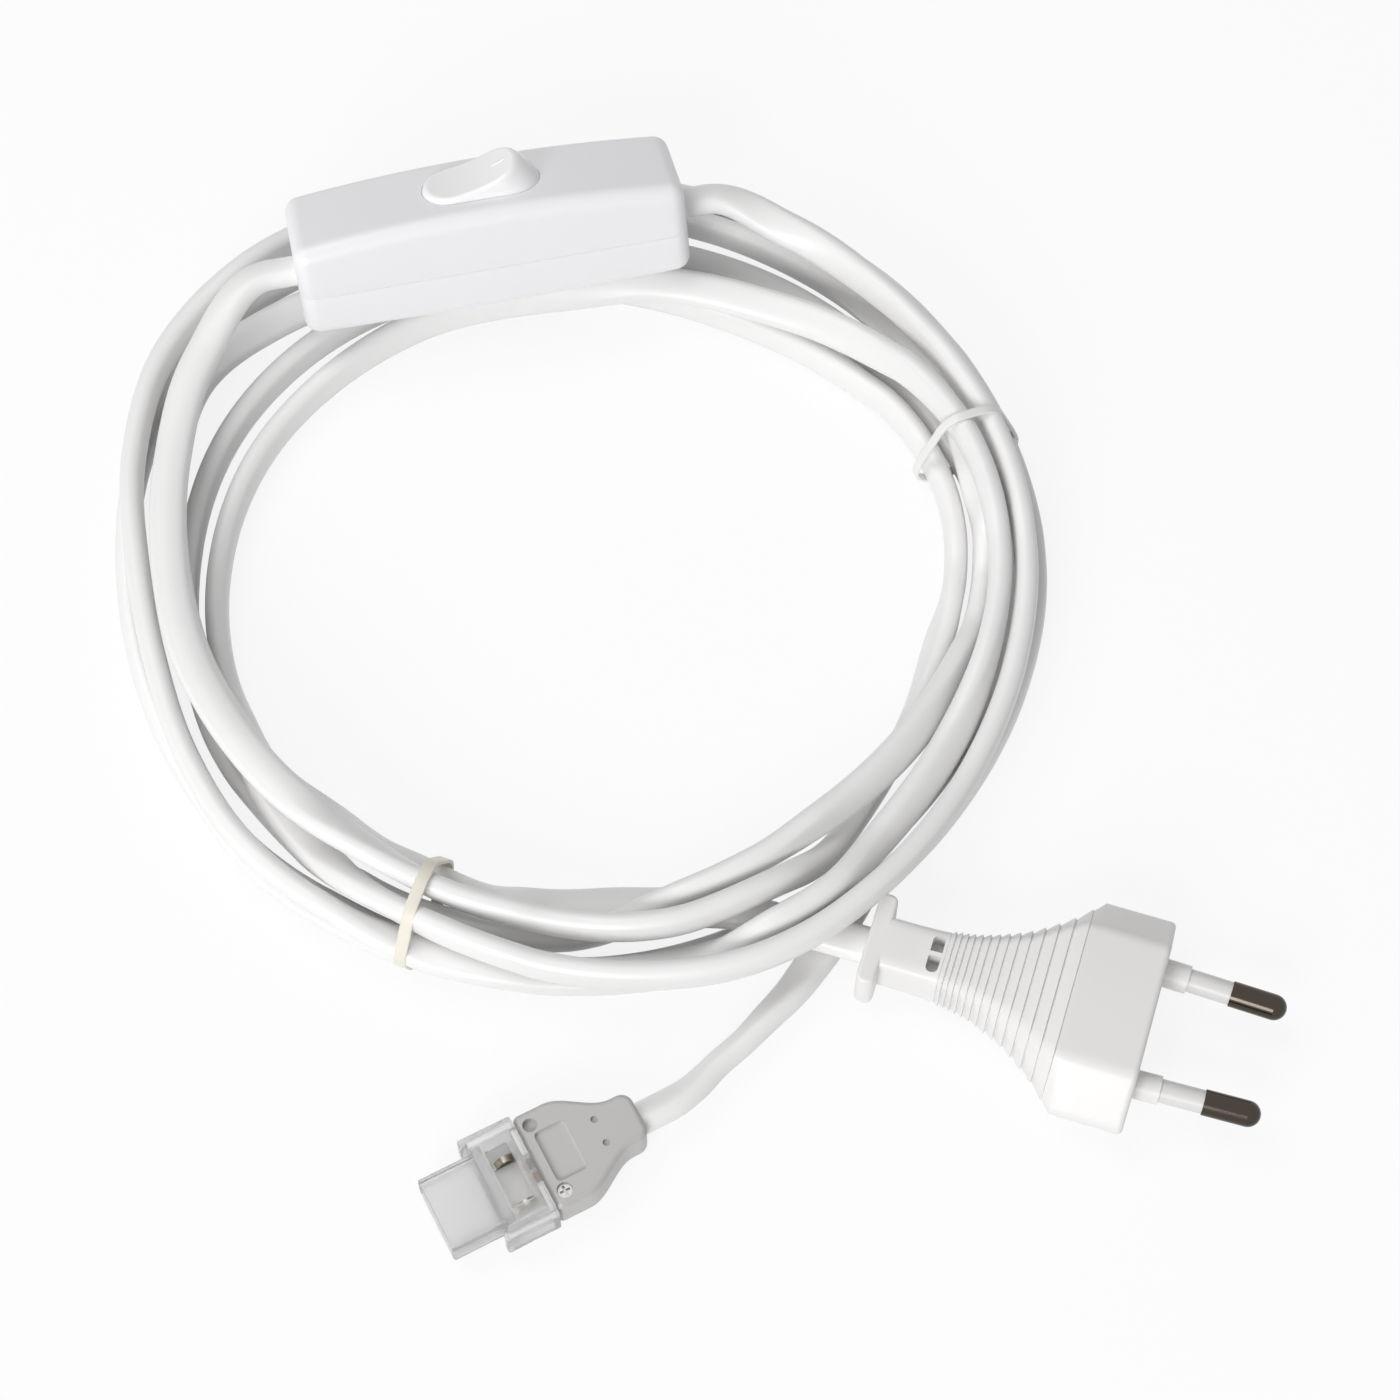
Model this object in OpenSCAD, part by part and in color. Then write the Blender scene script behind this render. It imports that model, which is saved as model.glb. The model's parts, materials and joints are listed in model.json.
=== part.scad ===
// Extension cord: a flat two-pin plug, a flat twin cord wound in a loose coil, an in-line
// rocker switch and a clip-on end connector for a light strip.
// Millimetres. +Z is up and z = 0 is the surface that everything lies on.

/* [Cord] */
// Thickness of the flat twin cord
cord_t = 3.8; // [3.4:0.1:4]
// Width of the flat twin cord
cord_w = 6; // [5.4:0.1:6.2]
// Diameter of one insulated core
core_d = 1.8; // [1.2:0.1:2]
// Diameter of one bare conductor
wire_d = 1; // [0.6:0.1:1.2]

/* [Plug] */
// Length of the moulded body, from cord flange to front face
plug_len = 44; // [42:0.5:50]
// Width of the head
head_w = 35.3; // [34:0.1:37]
// Width of the flat on top of the head
head_flat_w = 21.6; // [18:0.1:26]
// Height of the head
head_h = 13.7; // [12.5:0.1:15]
// Length of the head's straight part
head_len = 11; // [8:0.5:14]
// Width of the neck
neck_w = 8.8; // [8:0.1:11]
// Height of the neck
neck_h = 8.6; // [7.6:0.1:10]
// Length of the cord flange
flange_l = 2.9; // [2:0.1:4]
// Width of the cord flange
flange_w = 15; // [12:0.1:15.4]
// Height of the cord flange
flange_h = 8.6; // [7.6:0.1:9.6]
// How many grip ribs cross the body
ribs = 14; // [8:1:18]
// Height of one grip rib
rib_h = 0.35; // [0.2:0.05:0.6]

/* [Pins] */
// Diameter of the bare pin
pin_d = 4; // [3.8:0.05:4.2]
// Length of a pin in front of the face
pin_len = 19; // [17:0.5:20]
// Length of the bare end of a pin
pin_bare = 8.6; // [7:0.1:10]
// Distance between the pins at the face
pin_gap = 18.6; // [18:0.1:19]
// Inward lean of each pin
pin_lean = 1.7; // [0:0.1:2.5]
// Diameter of the pin under its sleeve
shank_d = 3; // [2.4:0.1:3.2]
// Diameter of the insulating sleeve
sleeve_d = 3.6; // [3.4:0.05:3.65]
// Diameter of the boss round each pin
boss_d = 4.4; // [4.2:0.1:5.5]
// Length of the boss round each pin
boss_len = 3.8; // [2:0.1:5]

/* [Switch] */
// Length of the switch housing
sw_len = 65; // [62:0.5:68]
// Depth of the switch housing
sw_dep = 19.4; // [18.6:0.1:20]
// Height of the switch housing
sw_h = 18.6; // [18:0.1:19.6]
// Wall of the switch housing
sw_wall = 1.6; // [1.2:0.1:1.8]
// Rounding of the housing's corners
sw_round = 2.6; // [2:0.1:3.4]
// How far the top falls from the middle to each end
sw_crown = 2; // [1:0.1:2.4]
// Height of the seam, and of the cord, above the housing's middle
seam_z = -1.4; // [-1.8:0.1:-1]

/* [Rocker] */
// Length of the rocker's seat in the cover
rock_len = 21; // [19.6:0.1:21.6]
// Width of the rocker
rock_w = 10.6; // [9:0.1:11]
// Height of the rocker's shoulders over the axle
rock_top = 6.9; // [6.2:0.1:7.2]
// Depth of the hollow in the rocker's top
rock_dish = 1.2; // [0.6:0.1:1.8]
// Tilt of the rocker to each side
rock_tilt = 14; // [10:0.5:14]
// Diameter of the rocker's axle
axle_d = 2; // [1.6:0.1:2.4]
// Height of the axle over the housing's middle
axle_z = 5.3; // [5:0.1:5.6]
// Tilt of the contact bridge to each side
bridge_tilt = 5; // [3:0.5:6]

/* [Connector] */
// Length of the overmould
mould_len = 17.2; // [16:0.1:20]
// Width of the overmould at its front
mould_w = 15.8; // [15.4:0.1:17]
// Width of the overmould at the cord
mould_tail_w = 7.9; // [7:0.1:9]
// Height of the overmould
mould_h = 7; // [6.6:0.1:7.6]
// Length of the clip housing
clip_len = 7.6; // [7:0.1:9]
// Width of the clip housing
clip_w = 15.4; // [14.8:0.1:16]
// Height of the clip housing
clip_h = 8.4; // [8:0.1:9.2]
// Wall of the clip housing
clip_wall = 1; // [0.8:0.05:1.2]
// Length of the strip sleeve
sleeve_len = 8.6; // [7:0.1:12]
// Width of the strip sleeve
sleeve_w = 12.2; // [11.4:0.1:12.6]
// Height of the strip sleeve
sleeve_h = 6.4; // [6:0.1:6.8]

/* [Ties] */
// Thickness of a tie band
tie_t = 0.6; // [0.4:0.1:0.8]
// Width of the upper tie
tie_upper_w = 1.5; // [1:0.1:2.5]
// Width of the lower tie
tie_lower_w = 2; // [1:0.1:3]

/* [Hidden] */

fine = 48;
soft = 32;
fit = 0.05;      // running clearance round a shaft
gap = 0.3;       // clearance between pieces that only lie beside each other
seat = 0.02;     // gap between faces that are assembled against each other

// Where the pieces lie
coil_x = -31.1;
coil_y = 19.1;
plug_x = 14.7;
plug_y = -46.2;
plug_yaw = -17.5;
sw_x = -46;
sw_y = 77.3;
sw_z = 19;
sw_yaw = 12;
sw_lean = 21.5;
con_x = -19.6;
con_y = -72.9;
con_yaw = 207.7;
con_z = clip_h / 2;
tie_upper_at = 70;      // clock angles of the ties
tie_lower_at = 200;

// ---------------------------------------------------------------- frames of the pieces

// Plug frame: origin at the flange's cord face, +X towards the pins, z = 0 at mid height
module at_plug() translate([plug_x, plug_y, head_h / 2]) rotate([0, 0, plug_yaw]) children();

// Switch frame: origin at the middle of the housing, +X along it, +Z out of the rocker
module at_switch() translate([sw_x, sw_y, sw_z]) rotate([-sw_lean, 0, sw_yaw]) children();

// Connector frame: origin at the cord's end face, +X towards the strip
module at_connector() translate([con_x, con_y, con_z]) rotate([0, 0, con_yaw]) children();

module both_sides() {
    children();
    mirror([0, 1, 0]) children();
}

module both_ends() {
    children();
    mirror([1, 0, 0]) children();
}

// A rod of diameter d along +X from x0 to x1
module rod_x(d, x0, x1) translate([x0, 0, 0]) rotate([0, 90, 0]) cylinder(d = d, h = x1 - x0, $fn = fine);

// A rod of diameter d along Y, length l, centred
module rod_y(d, l) rotate([90, 0, 0]) cylinder(d = d, h = l, center = true, $fn = fine);

// A box from x0 to x1, w wide in Y and h high, centred on z
module box_x(x0, x1, w, h, z = 0) translate([x0, -w / 2, z - h / 2]) cube([x1 - x0, w, h]);

function ease(u) = let (v = min(1, max(0, u))) v * v * (3 - 2 * v);

// ---------------------------------------------------------------- plug

head_x = plug_len - head_len;          // where the flare meets the head
rib_x0 = 12;                           // first rib
rib_x1 = head_x - 1.5;                 // end of the last rib
rib_growth = 1.08;                     // each rib is this much longer than the one before
insert_len = 11;
insert_w = pin_gap + 5;
insert_h = 8;
pin_root = insert_len + 0.6;           // length of a pin behind the face
crimp_d = 2.6;
crimp_len = 2.8;
crimp_room = crimp_len + 1.4;          // length of the hollow behind the insert
core_turn_x = 18.6;                    // where the cores part
crimp_x = plug_len - insert_len - crimp_room;
crimp_y = pin_gap / 2 + pin_root * tan(pin_lean);
core_y = core_d / 2 + 0.15;
core_hole = core_d + 0.6;
slot_x = 10.5;
slot_l = 6;
slot_w = 1.9;
slot_depth = 2;

// Half width of the body at x: a neck that flares into the head
function plug_hw(x) = neck_w / 2 + (head_w - neck_w) / 2 * pow(min(1, max(0, (x - 4) / (head_x - 4))), 3);

// Half height of the body at x
function plug_hh(x) = neck_h / 2 + (head_h - neck_h) / 2 * ease((x - 6) / (head_x - 6));

// Start of rib i: the ribs grow by a constant factor and fill the grip exactly
function rib_at(i) =
    rib_x0 + (rib_x1 - rib_x0) * (pow(rib_growth, i) - 1) / (pow(rib_growth, ribs) - 1);

function plan_half() = [for (i = [0 : 24]) let (x = head_x * i / 24) [x, plug_hw(x)]];

// Upper edge of the side view, with one saw tooth per rib
function side_half() = concat(
    [for (i = [0 : 4]) let (x = rib_x0 * i / 5) [x, plug_hh(x)]],
    [for (i = [0 : ribs - 1]) each [
        [rib_at(i), plug_hh(rib_at(i))],
        [rib_at(i + 1) - 0.15, min(head_h / 2, plug_hh(rib_at(i + 1)) + rib_h)]
    ]],
    [[head_x, head_h / 2], [plug_len, head_h / 2]]
);

function mirrored(p) = concat(p, [for (i = [len(p) - 1 : -1 : 0]) [p[i][0], -p[i][1]]]);

module plug_outer() {
    intersection() {
        translate([0, 0, -head_h]) linear_extrude(2 * head_h)
            polygon(mirrored(concat(plan_half(), [[plug_len, head_w / 2]])));
        rotate([90, 0, 0]) linear_extrude(2 * head_w, center = true)
            polygon(mirrored(side_half()));
        rotate([90, 0, 90]) linear_extrude(plug_len) polygon([
            [head_w / 2, 0], [head_flat_w / 2, head_h / 2], [-head_flat_w / 2, head_h / 2],
            [-head_w / 2, 0], [-head_flat_w / 2, -head_h / 2], [head_flat_w / 2, -head_h / 2]
        ]);
    }
    both_sides() translate([flange_l / 2, (flange_w - flange_l) / 2, 0])
        cylinder(d = flange_l, h = flange_h, center = true, $fn = fine);
    box_x(0, flange_l, flange_w - flange_l, flange_h);
}

// Children at each pin: origin on the front face, +X along the pin
module at_pins() both_sides() translate([plug_len, pin_gap / 2, 0]) rotate([0, 0, -pin_lean]) children();

module plug_body() color("white") at_plug() difference() {
    plug_outer();
    box_x(plug_len - insert_len, plug_len + 1, insert_w + 2 * seat, insert_h + 2 * seat);
    box_x(crimp_x, plug_len - insert_len + 1, 2 * (crimp_y + shank_d / 2 + gap), shank_d + gap);
    box_x(3, core_turn_x + 1, 2 * core_y + core_hole, core_hole);
    translate([0, 0, -core_hole / 2]) linear_extrude(core_hole) polygon(mirrored([
        [core_turn_x - 1.6, core_y + core_hole / 2],
        [crimp_x + 0.5, crimp_y + core_hole / 2 + gap]
    ]));
    for (side = [-1, 1]) translate([slot_x, side * slot_l / 4, plug_hh(slot_x) - slot_depth / 2 + 0.5])
        cube([slot_w, slot_l / 2 - 0.8, slot_depth + 1], center = true);
}

module plug_insert() color("white") at_plug() difference() {
    union() {
        box_x(plug_len - insert_len + seat, plug_len, insert_w, insert_h);
        at_pins() rod_x(boss_d, -1, boss_len);
    }
    at_pins() rod_x(shank_d, -pin_root - 2, boss_len + 1);
}

module plug_pins() color("silver") at_plug() at_pins() {
    rod_x(shank_d, -pin_root, pin_len - pin_bare + 0.5);
    rod_x(pin_d, pin_len - pin_bare, pin_len - pin_d / 2);
    translate([pin_len - pin_d / 2, 0, 0]) rotate([0, 90, 0])
        rotate_extrude($fn = fine) intersection() {
            circle(d = pin_d, $fn = fine);
            square(pin_d);
        }
}

module pin_sleeves() color("white") at_plug() at_pins() difference() {
    rod_x(sleeve_d, boss_len + seat, pin_len - pin_bare - seat);
    rod_x(shank_d, 0, pin_len);
}

module plug_crimps() color("gainsboro") at_plug() both_sides() translate([0, crimp_y, 0]) difference() {
    rod_x(crimp_d, crimp_x + 0.7, crimp_x + 0.7 + crimp_len);
    rod_x(wire_d, crimp_x, crimp_x + 1 + crimp_len);
}

// The two cores run straight through the neck, then part and run out to the crimps
module plug_cores() color("saddlebrown") at_plug() both_sides() {
    reach = [crimp_x - core_turn_x, crimp_y - core_y];
    translate([0, core_y, 0]) {
        rod_x(core_d, 3, core_turn_x);
        translate([core_turn_x, 0, 0]) {
            sphere(d = core_d, $fn = soft);
            rotate([0, 0, atan2(reach[1], reach[0])]) rod_x(core_d, 0, norm(reach));
        }
    }
}

// ---------------------------------------------------------------- switch

sw_in = sw_len / 2 - sw_wall;          // half length of the hollow
cord_room = 0.1;
post_x = 19.4;                         // housing screw posts
post_d = 4.6;
screw_d = 2;
screw_head_d = 3.6;
screw_well = 1.6;                      // depth of the well for a screw head

// Arc through (-l, edge), (0, mid), (l, edge) with points every tenth of the length
function bow(l, mid, edge) = [for (i = [-10 : 10]) [l * i / 10, mid + (edge - mid) * i * i / 100]];

// The housing's outer form, or with inset > 0 its hollow
module sw_form(inset) {
    l = sw_len / 2 - inset;
    d = sw_dep - 2 * inset;
    r = max(0.6, sw_round - inset);
    top = sw_h / 2 - inset;
    intersection() {
        translate([0, 0, -sw_h]) linear_extrude(2 * sw_h) hull()
            for (x = [-1, 1], y = [-1, 1]) translate([x * (l - r), y * (d / 2 - r)]) circle(r, $fn = fine);
        rotate([90, 0, 0]) linear_extrude(2 * sw_dep, center = true) polygon(concat(
            bow(l, top, top - sw_crown),
            [for (p = bow(l, -top, -top + 0.5)) [-p[0], p[1]]]
        ));
        rotate([90, 0, 90]) linear_extrude(2 * l, center = true) hull()
            for (y = [-1, 1], z = [-1, 1]) translate([y * (d / 2 - r), z * (top - r)]) circle(r, $fn = fine);
    }
}

module sw_half(upper) intersection() {
    sw_form(0);
    translate([-sw_len, -sw_dep, upper ? seam_z + seat : seam_z - sw_h]) cube([2 * sw_len, 2 * sw_dep, sw_h]);
}

// The cord's way into each end of the housing
module cord_ports() both_ends() translate([sw_in + sw_wall / 2, 0, seam_z])
    cube([2 * sw_wall, cord_w + 2 * cord_room, cord_t + 2 * cord_room], center = true);

rock_r = rock_len / 2 - 0.05;          // the rocker's ends sweep this radius about the axle
lug_y = rock_w / 2 + gap;              // inner face of the axle lugs
lug_d = axle_d + 2.4;
post_h = sw_h / 2 - seam_z - sw_wall - sw_crown * 0.4;

module switch_cover() color("white") at_switch() {
    difference() {
        sw_half(true);
        intersection() {
            sw_form(sw_wall);
            translate([0, 0, sw_h / 2 + seam_z - 1]) cube([sw_len, sw_dep, sw_h + 2], center = true);
        }
        cord_ports();
        linear_extrude(sw_h) hull() both_ends()
            translate([(rock_len - rock_w) / 2, 0]) circle(d = rock_w + 2 * gap, $fn = fine);
    }
    difference() {
        both_sides() translate([-lug_d / 2, lug_y, axle_z - lug_d / 2])
            cube([lug_d, sw_dep / 2 - sw_wall / 2 - lug_y, sw_h / 2 - sw_wall / 2 - axle_z + lug_d / 2]);
        translate([0, 0, axle_z]) rod_y(axle_d, sw_dep - 1.4 * sw_wall);
        difference() {
            cube([2 * lug_d, 2 * sw_dep, 2 * sw_h], center = true);
            sw_form(sw_wall / 2);
        }
    }
    both_ends() difference() {
        translate([post_x, 0, seam_z + gap]) cylinder(d = post_d, h = post_h, $fn = fine);
        translate([post_x, 0, seam_z]) cylinder(d = screw_d, h = 5, $fn = fine);
    }
}

floor_z = -sw_h / 2 + sw_wall;         // inner floor of the base at mid length
clamp_x = sw_in - 0.6;
clamp_l = 2.6;
clamp_t = 1.2;
clamp_w = 12;
clamp_screw_y = 4.6;
clamp_screw_d = 1.6;
clamp_bite = 2.2;                      // how far a clamp screw reaches below the seam
clamp_z = seam_z + cord_t / 2;
stub_x = 24.2;                         // inner end of the cord's jacket

// Clearance hole of a housing screw, with a well for its head
module screw_hole() translate([post_x, 0, -sw_h]) {
    cylinder(d = screw_d + 2 * fit, h = 2 * sw_h, $fn = fine);
    cylinder(d = screw_head_d + 0.2, h = sw_h / 2 + screw_well, $fn = fine);
}

module switch_base() color("white") at_switch() {
    difference() {
        sw_half(false);
        intersection() {
            sw_form(sw_wall);
            translate([0, 0, seam_z - sw_h / 2 + 1]) cube([sw_len, sw_dep, sw_h + 2], center = true);
        }
        cord_ports();
        both_ends() screw_hole();
    }
    both_ends() difference() {
        translate([clamp_x - clamp_l, -clamp_w / 2, floor_z - 0.1])
            cube([clamp_l, clamp_w, seam_z - cord_t / 2 - floor_z + 0.1]);
        both_sides() translate([clamp_x - clamp_l / 2, clamp_screw_y, seam_z - clamp_bite])
            cylinder(d = clamp_screw_d, h = 2, $fn = fine);
    }
    both_ends() difference() {
        translate([post_x, 0, floor_z - 0.3])
            cylinder(d = post_d + 1, h = seam_z - floor_z + 0.3, $fn = fine);
        screw_hole();
    }
}

head_z = -sw_h / 2 + screw_well;              // seat of the housing screws' heads

module housing_screws() color("silver") at_switch() both_ends() translate([post_x, 0, 0]) difference() {
    union() {
        translate([0, 0, head_z - 1.2]) cylinder(d = screw_head_d, h = 1.2 - seat, $fn = fine);
        translate([0, 0, head_z - 0.1]) cylinder(d = screw_d, h = seam_z + 4.4 - head_z, $fn = fine);
    }
    for (a = [0, 90]) rotate([0, 0, a]) translate([0, 0, head_z - 1.2]) cube([2.4, 0.5, 1.2], center = true);
}

// Rocker, drawn level about the axle and then tilted to its rest. Its ends are turned about
// the axle, so they keep their distance to the cover at every tilt.
module rocker() color("white") at_switch() translate([0, 0, axle_z]) rotate([0, -rock_tilt, 0]) difference() {
    intersection() {
        rotate([90, 0, 0]) linear_extrude(rock_w, center = true) polygon(concat(
            [[-rock_r, -0.5], [-5, -axle_d], [5, -axle_d], [rock_r, -0.5]],
            [for (p = bow(rock_r, rock_top - rock_dish, rock_top + rock_dish * 0.6)) [-p[0], p[1]]]
        ));
        rotate([90, 0, 0]) rotate_extrude($fn = 96) intersection() {
            union() {
                translate([rock_r - rock_w / 2, 0]) circle(d = rock_w, $fn = fine);
                square([2 * rock_r - rock_w, rock_w], center = true);
            }
            translate([0, -rock_w]) square([2 * rock_r, 2 * rock_w]);
        }
    }
    rod_y(axle_d + 2 * fit, 2 * rock_w);
    translate([0, 0, -axle_d - 1]) cylinder(d = spring_d + 0.2, h = 2, $fn = fine);
}

module rocker_axle() color("silver") at_switch()
    translate([0, 0, axle_z]) rod_y(axle_d, sw_dep - 2 * sw_wall);

// The rocker's sprung plunger: its tip slides along the contact bridge
spring_d = 2.4;
tip_z = -4.8;                          // lowest point of the plunger below the axle
tip_r = 0.8;

module rocker_spring() color("silver") at_switch() translate([0, 0, axle_z]) rotate([0, -rock_tilt, 0]) {
    translate([0, 0, tip_z + tip_r]) cylinder(d = spring_d, h = 0.9 - axle_d - tip_z - tip_r, $fn = fine);
    translate([0, 0, tip_z + tip_r]) rotate_extrude($fn = fine) intersection() {
        circle(tip_r, $fn = fine);
        translate([0, -1]) square([1, 1.4]);
    }
}

// See-saw bridge under the plunger, on the bridge terminal's edge
bridge_z = axle_z + tip_z - 0.45;
bridge_t = 0.6;
bridge_l = 14;
bridge_w = 3.4;
groove_d = 0.7;                        // groove that rocks on the terminal's edge
button_h = 0.7;                        // contact button under the bridge
contact_x = bridge_l / 2 - 1.6;

module contact_bridge() color("goldenrod") at_switch()
    translate([0, 0, bridge_z - bridge_t]) rotate([0, bridge_tilt, 0]) {
        difference() {
            translate([-bridge_l / 2, -bridge_w / 2, 0]) cube([bridge_l, bridge_w, bridge_t]);
            rod_y(groove_d, 2 * bridge_w);
        }
        translate([contact_x, 0, -button_h]) cylinder(d = 2.2, h = button_h + 0.1, $fn = fine);
    }

// Terminal blocks: a bent strip on the floor with a screw block at its outer end
block_l = 5;
block_w = 4;
block_h = 3.2;
block_y = -4.2;
strip_z = floor_z + 0.4;               // underside of the strips
block_screw_d = 1.6;

module terminal_block(x) translate([x, block_y, strip_z]) difference() {
    translate([-block_l / 2, -block_w / 2, 0]) cube([block_l, block_w, block_h]);
    translate([0, 0, block_h / 2]) rod_x(wire_d + 0.2, -block_l, block_l);
    cylinder(d = block_screw_d, h = block_h + 1, $fn = fine);
}

term_x = 14.5;
strip_t = 0.5;

module bridge_terminal() color("goldenrod") at_switch() {
    terminal_block(-term_x);
    translate([-term_x - 1, block_y - 0.6, strip_z]) cube([term_x + 2, 1.2, strip_t]);
    translate([-0.6, block_y - 0.6, strip_z]) cube([1.2, -block_y + 1.6, strip_t]);
    translate([-0.25, -1.4, strip_z]) cube([0.5, 2.8, bridge_z - bridge_t + 0.05 - strip_z]);
}

module fixed_contact() color("goldenrod") at_switch() {
    contact_top = bridge_z - bridge_t - button_h - contact_x * sin(bridge_tilt) - 0.35;
    terminal_block(term_x);
    translate([contact_x - 1, block_y - 0.6, strip_z]) cube([term_x - contact_x, 1.2, strip_t]);
    translate([contact_x - 1, block_y - 0.6, strip_z]) cube([2, -block_y + 1.6, strip_t]);
    translate([contact_x, 0, strip_z])
        cylinder(d = 2, h = max(strip_t, contact_top - strip_z), $fn = fine);
}

module terminal_screws() color("silver") at_switch() both_ends() translate([term_x, block_y, strip_z]) {
    translate([0, 0, (block_h + wire_d) / 2 + 0.15])
        cylinder(d = block_screw_d, h = block_h / 2, $fn = fine);
    translate([0, 0, block_h + seat]) difference() {
        cylinder(d = 3, h = 1, $fn = fine);
        translate([0, 0, 1]) cube([4, 0.5, 0.8], center = true);
    }
}

// The cord's two ends inside the housing, under the clamps
module cord_ends() color("white") at_switch() both_ends() translate([0, 0, seam_z])
    rotate([90, 0, 90]) translate([0, 0, stub_x]) linear_extrude(sw_len / 2 - seat - stub_x)
        flat_oval(cord_w - 0.1, cord_t - 0.1);

module flat_oval(w, t) {
    square([w - t, t], center = true);
    for (side = [-1, 1]) translate([side * (w - t) / 2, 0]) circle(d = t, $fn = soft);
}

module cord_clamps() color("white") at_switch() both_ends() difference() {
    translate([clamp_x - clamp_l, -clamp_w / 2, clamp_z]) cube([clamp_l, clamp_w, clamp_t]);
    both_sides() translate([clamp_x - clamp_l / 2, clamp_screw_y, 0]) cylinder(d = 1.8, h = sw_h, $fn = fine);
}

module clamp_screws() color("silver") at_switch() both_ends() both_sides()
    translate([clamp_x - clamp_l / 2, clamp_screw_y, 0]) {
        translate([0, 0, seam_z - clamp_bite])
            cylinder(d = clamp_screw_d, h = clamp_z + clamp_t + clamp_bite + 0.1 - seam_z, $fn = fine);
        translate([0, 0, clamp_z + clamp_t + seat]) cylinder(d = 2.6, h = 0.8, $fn = fine);
    }

// One core runs through, the other is cut at the terminals
module switch_cores() color("saddlebrown") at_switch() {
    translate([0, 4.1, seam_z - 1.2]) rod_x(core_d, -stub_x + seat, stub_x - seat);
    both_ends() translate([0, block_y, strip_z + block_h / 2]) rod_x(wire_d, term_x - 2, stub_x - 1);
}

// ---------------------------------------------------------------- connector

tail_x = 3;                            // straight part at the cord
shoulder_x = 12;                       // where the overmould reaches its full width
clip_x = mould_len + seat;
mouth_x = clip_x + clip_len + sleeve_len;
panel_x = 10.4;                        // shallow panel on top
panel_l = 5;
panel_w = 8.4;
panel_depth = 0.6;
screw_x = mould_len - 2.2;
mark_y = 5.6;                          // the screw and the round recess lie this far out
probe_x = 6.4;                         // two small probe holes
probe_y = 2;
core_slot_w = 2 * core_d + 1.4;        // the cores' way through
core_slot_h = core_d + 0.6;
core_z = -0.4;

// Half width of the overmould at x
function mould_hw(x) =
    mould_tail_w / 2 + (mould_w - mould_tail_w) / 2 * ease((x - tail_x) / (shoulder_x - tail_x));

module connector_body() color("darkgray") at_connector() difference() {
    intersection() {
        linear_extrude(mould_h, center = true) polygon(mirrored(concat(
            [[0, mould_tail_w / 2 - 1], [1, mould_tail_w / 2]],
            [for (i = [0 : 12]) let (x = tail_x + (shoulder_x - tail_x) * i / 12) [x, mould_hw(x)]],
            [[mould_len, mould_w / 2]]
        )));
        rotate([90, 0, 0]) linear_extrude(2 * mould_w, center = true) hull() {
            translate([1.5, mould_h / 2 - 1.5]) circle(1.5, $fn = soft);
            translate([1.5, -mould_h / 2 + 1.5]) circle(1.5, $fn = soft);
            translate([mould_len - 1, -mould_h / 2]) square([1, mould_h]);
        }
    }
    translate([panel_x, -panel_w / 2, mould_h / 2 - panel_depth]) cube([panel_l, panel_w, 1]);
    translate([mould_len - 2, -mark_y, mould_h / 2 - 1]) cylinder(d = 2.2, h = 2, $fn = fine);
    translate([screw_x, mark_y, mould_h / 2 - 3]) cylinder(d = 2.4, h = 4, $fn = fine);
    both_sides() translate([probe_x, probe_y, mould_h / 2 - 2]) cylinder(d = 1.2, h = 3, $fn = fine);
    box_x(2, mould_len + 1, core_slot_w, core_slot_h, core_z);
}

module connector_screw() color("silver") at_connector()
    translate([screw_x, mark_y, mould_h / 2 - 3]) difference() {
        translate([0, 0, seat]) cylinder(d = 2.3, h = 2.4, $fn = fine);
        for (a = [0, 90]) rotate([0, 0, a]) translate([0, 0, 2.4]) cube([1.6, 0.4, 1], center = true);
    }

rail_w = (mould_w + 0.4 - clip_w) / 2 + 0.8;
rail_l = 8.6;
window_l = 3.6;
window_w = 9.4;

clip_in_w = clip_w - 2 * clip_wall;
clip_in_h = clip_h - 2 * clip_wall;
collar_x = clip_x + clip_len - 1.6;    // the sleeve's collar sits inside the clip
sleeve_wall = 0.8;

module connector_clip() color([0.85, 0.9, 0.92, 0.5]) at_connector() difference() {
    union() {
        box_x(clip_x, clip_x + clip_len, clip_w, clip_h);
        both_sides() translate([clip_x, clip_w / 2 - 0.4, -clip_h / 2 + 1])
            cube([rail_l, rail_w, clip_h - 2.4]);
    }
    box_x(clip_x + clip_wall, clip_x + clip_len + 1, clip_in_w, clip_in_h);
    box_x(clip_x - 1, clip_x + clip_len, core_slot_w, core_slot_h, core_z);
    translate([clip_x + 2.2, -window_w / 2, 0]) cube([window_l, window_w, clip_h]);
}

module strip_sleeve() color([0.85, 0.9, 0.92, 0.5]) at_connector() difference() {
    union() {
        box_x(collar_x, mouth_x, sleeve_w, sleeve_h);
        box_x(collar_x, collar_x + 1.2, clip_in_w - 2 * seat, clip_in_h - 2 * seat);
    }
    box_x(clip_x, mouth_x + 1, sleeve_w - 2 * sleeve_wall, sleeve_h - 2 * sleeve_wall);
}

pad_t = 1;
pad_top = -1.5;                        // upper face of the pad
spring_y = 3.2;
spring_w = 1;
spring_t = 0.3;
spring_r = 1.6;

module contact_pad() color("ivory") at_connector()
    box_x(clip_x + clip_wall + seat, collar_x - 0.2, clip_in_w - 2 * gap, pad_t, pad_top - pad_t / 2);

// Each spring is a foot on the pad with an arch above it
module contact_springs() color("goldenrod") at_connector() both_sides()
    translate([clip_x + clip_wall + 0.4, spring_y, pad_top]) {
        translate([0, 0, seat]) cube([3.8, spring_w, spring_t]);
        translate([1.8, spring_w / 2, spring_t]) rotate([90, 0, 0])
            linear_extrude(spring_w, center = true) difference() {
                circle(spring_r, $fn = soft);
                circle(spring_r - spring_t, $fn = soft);
                translate([-spring_r, -2 * spring_r]) square(2 * spring_r);
            }
    }

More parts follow.
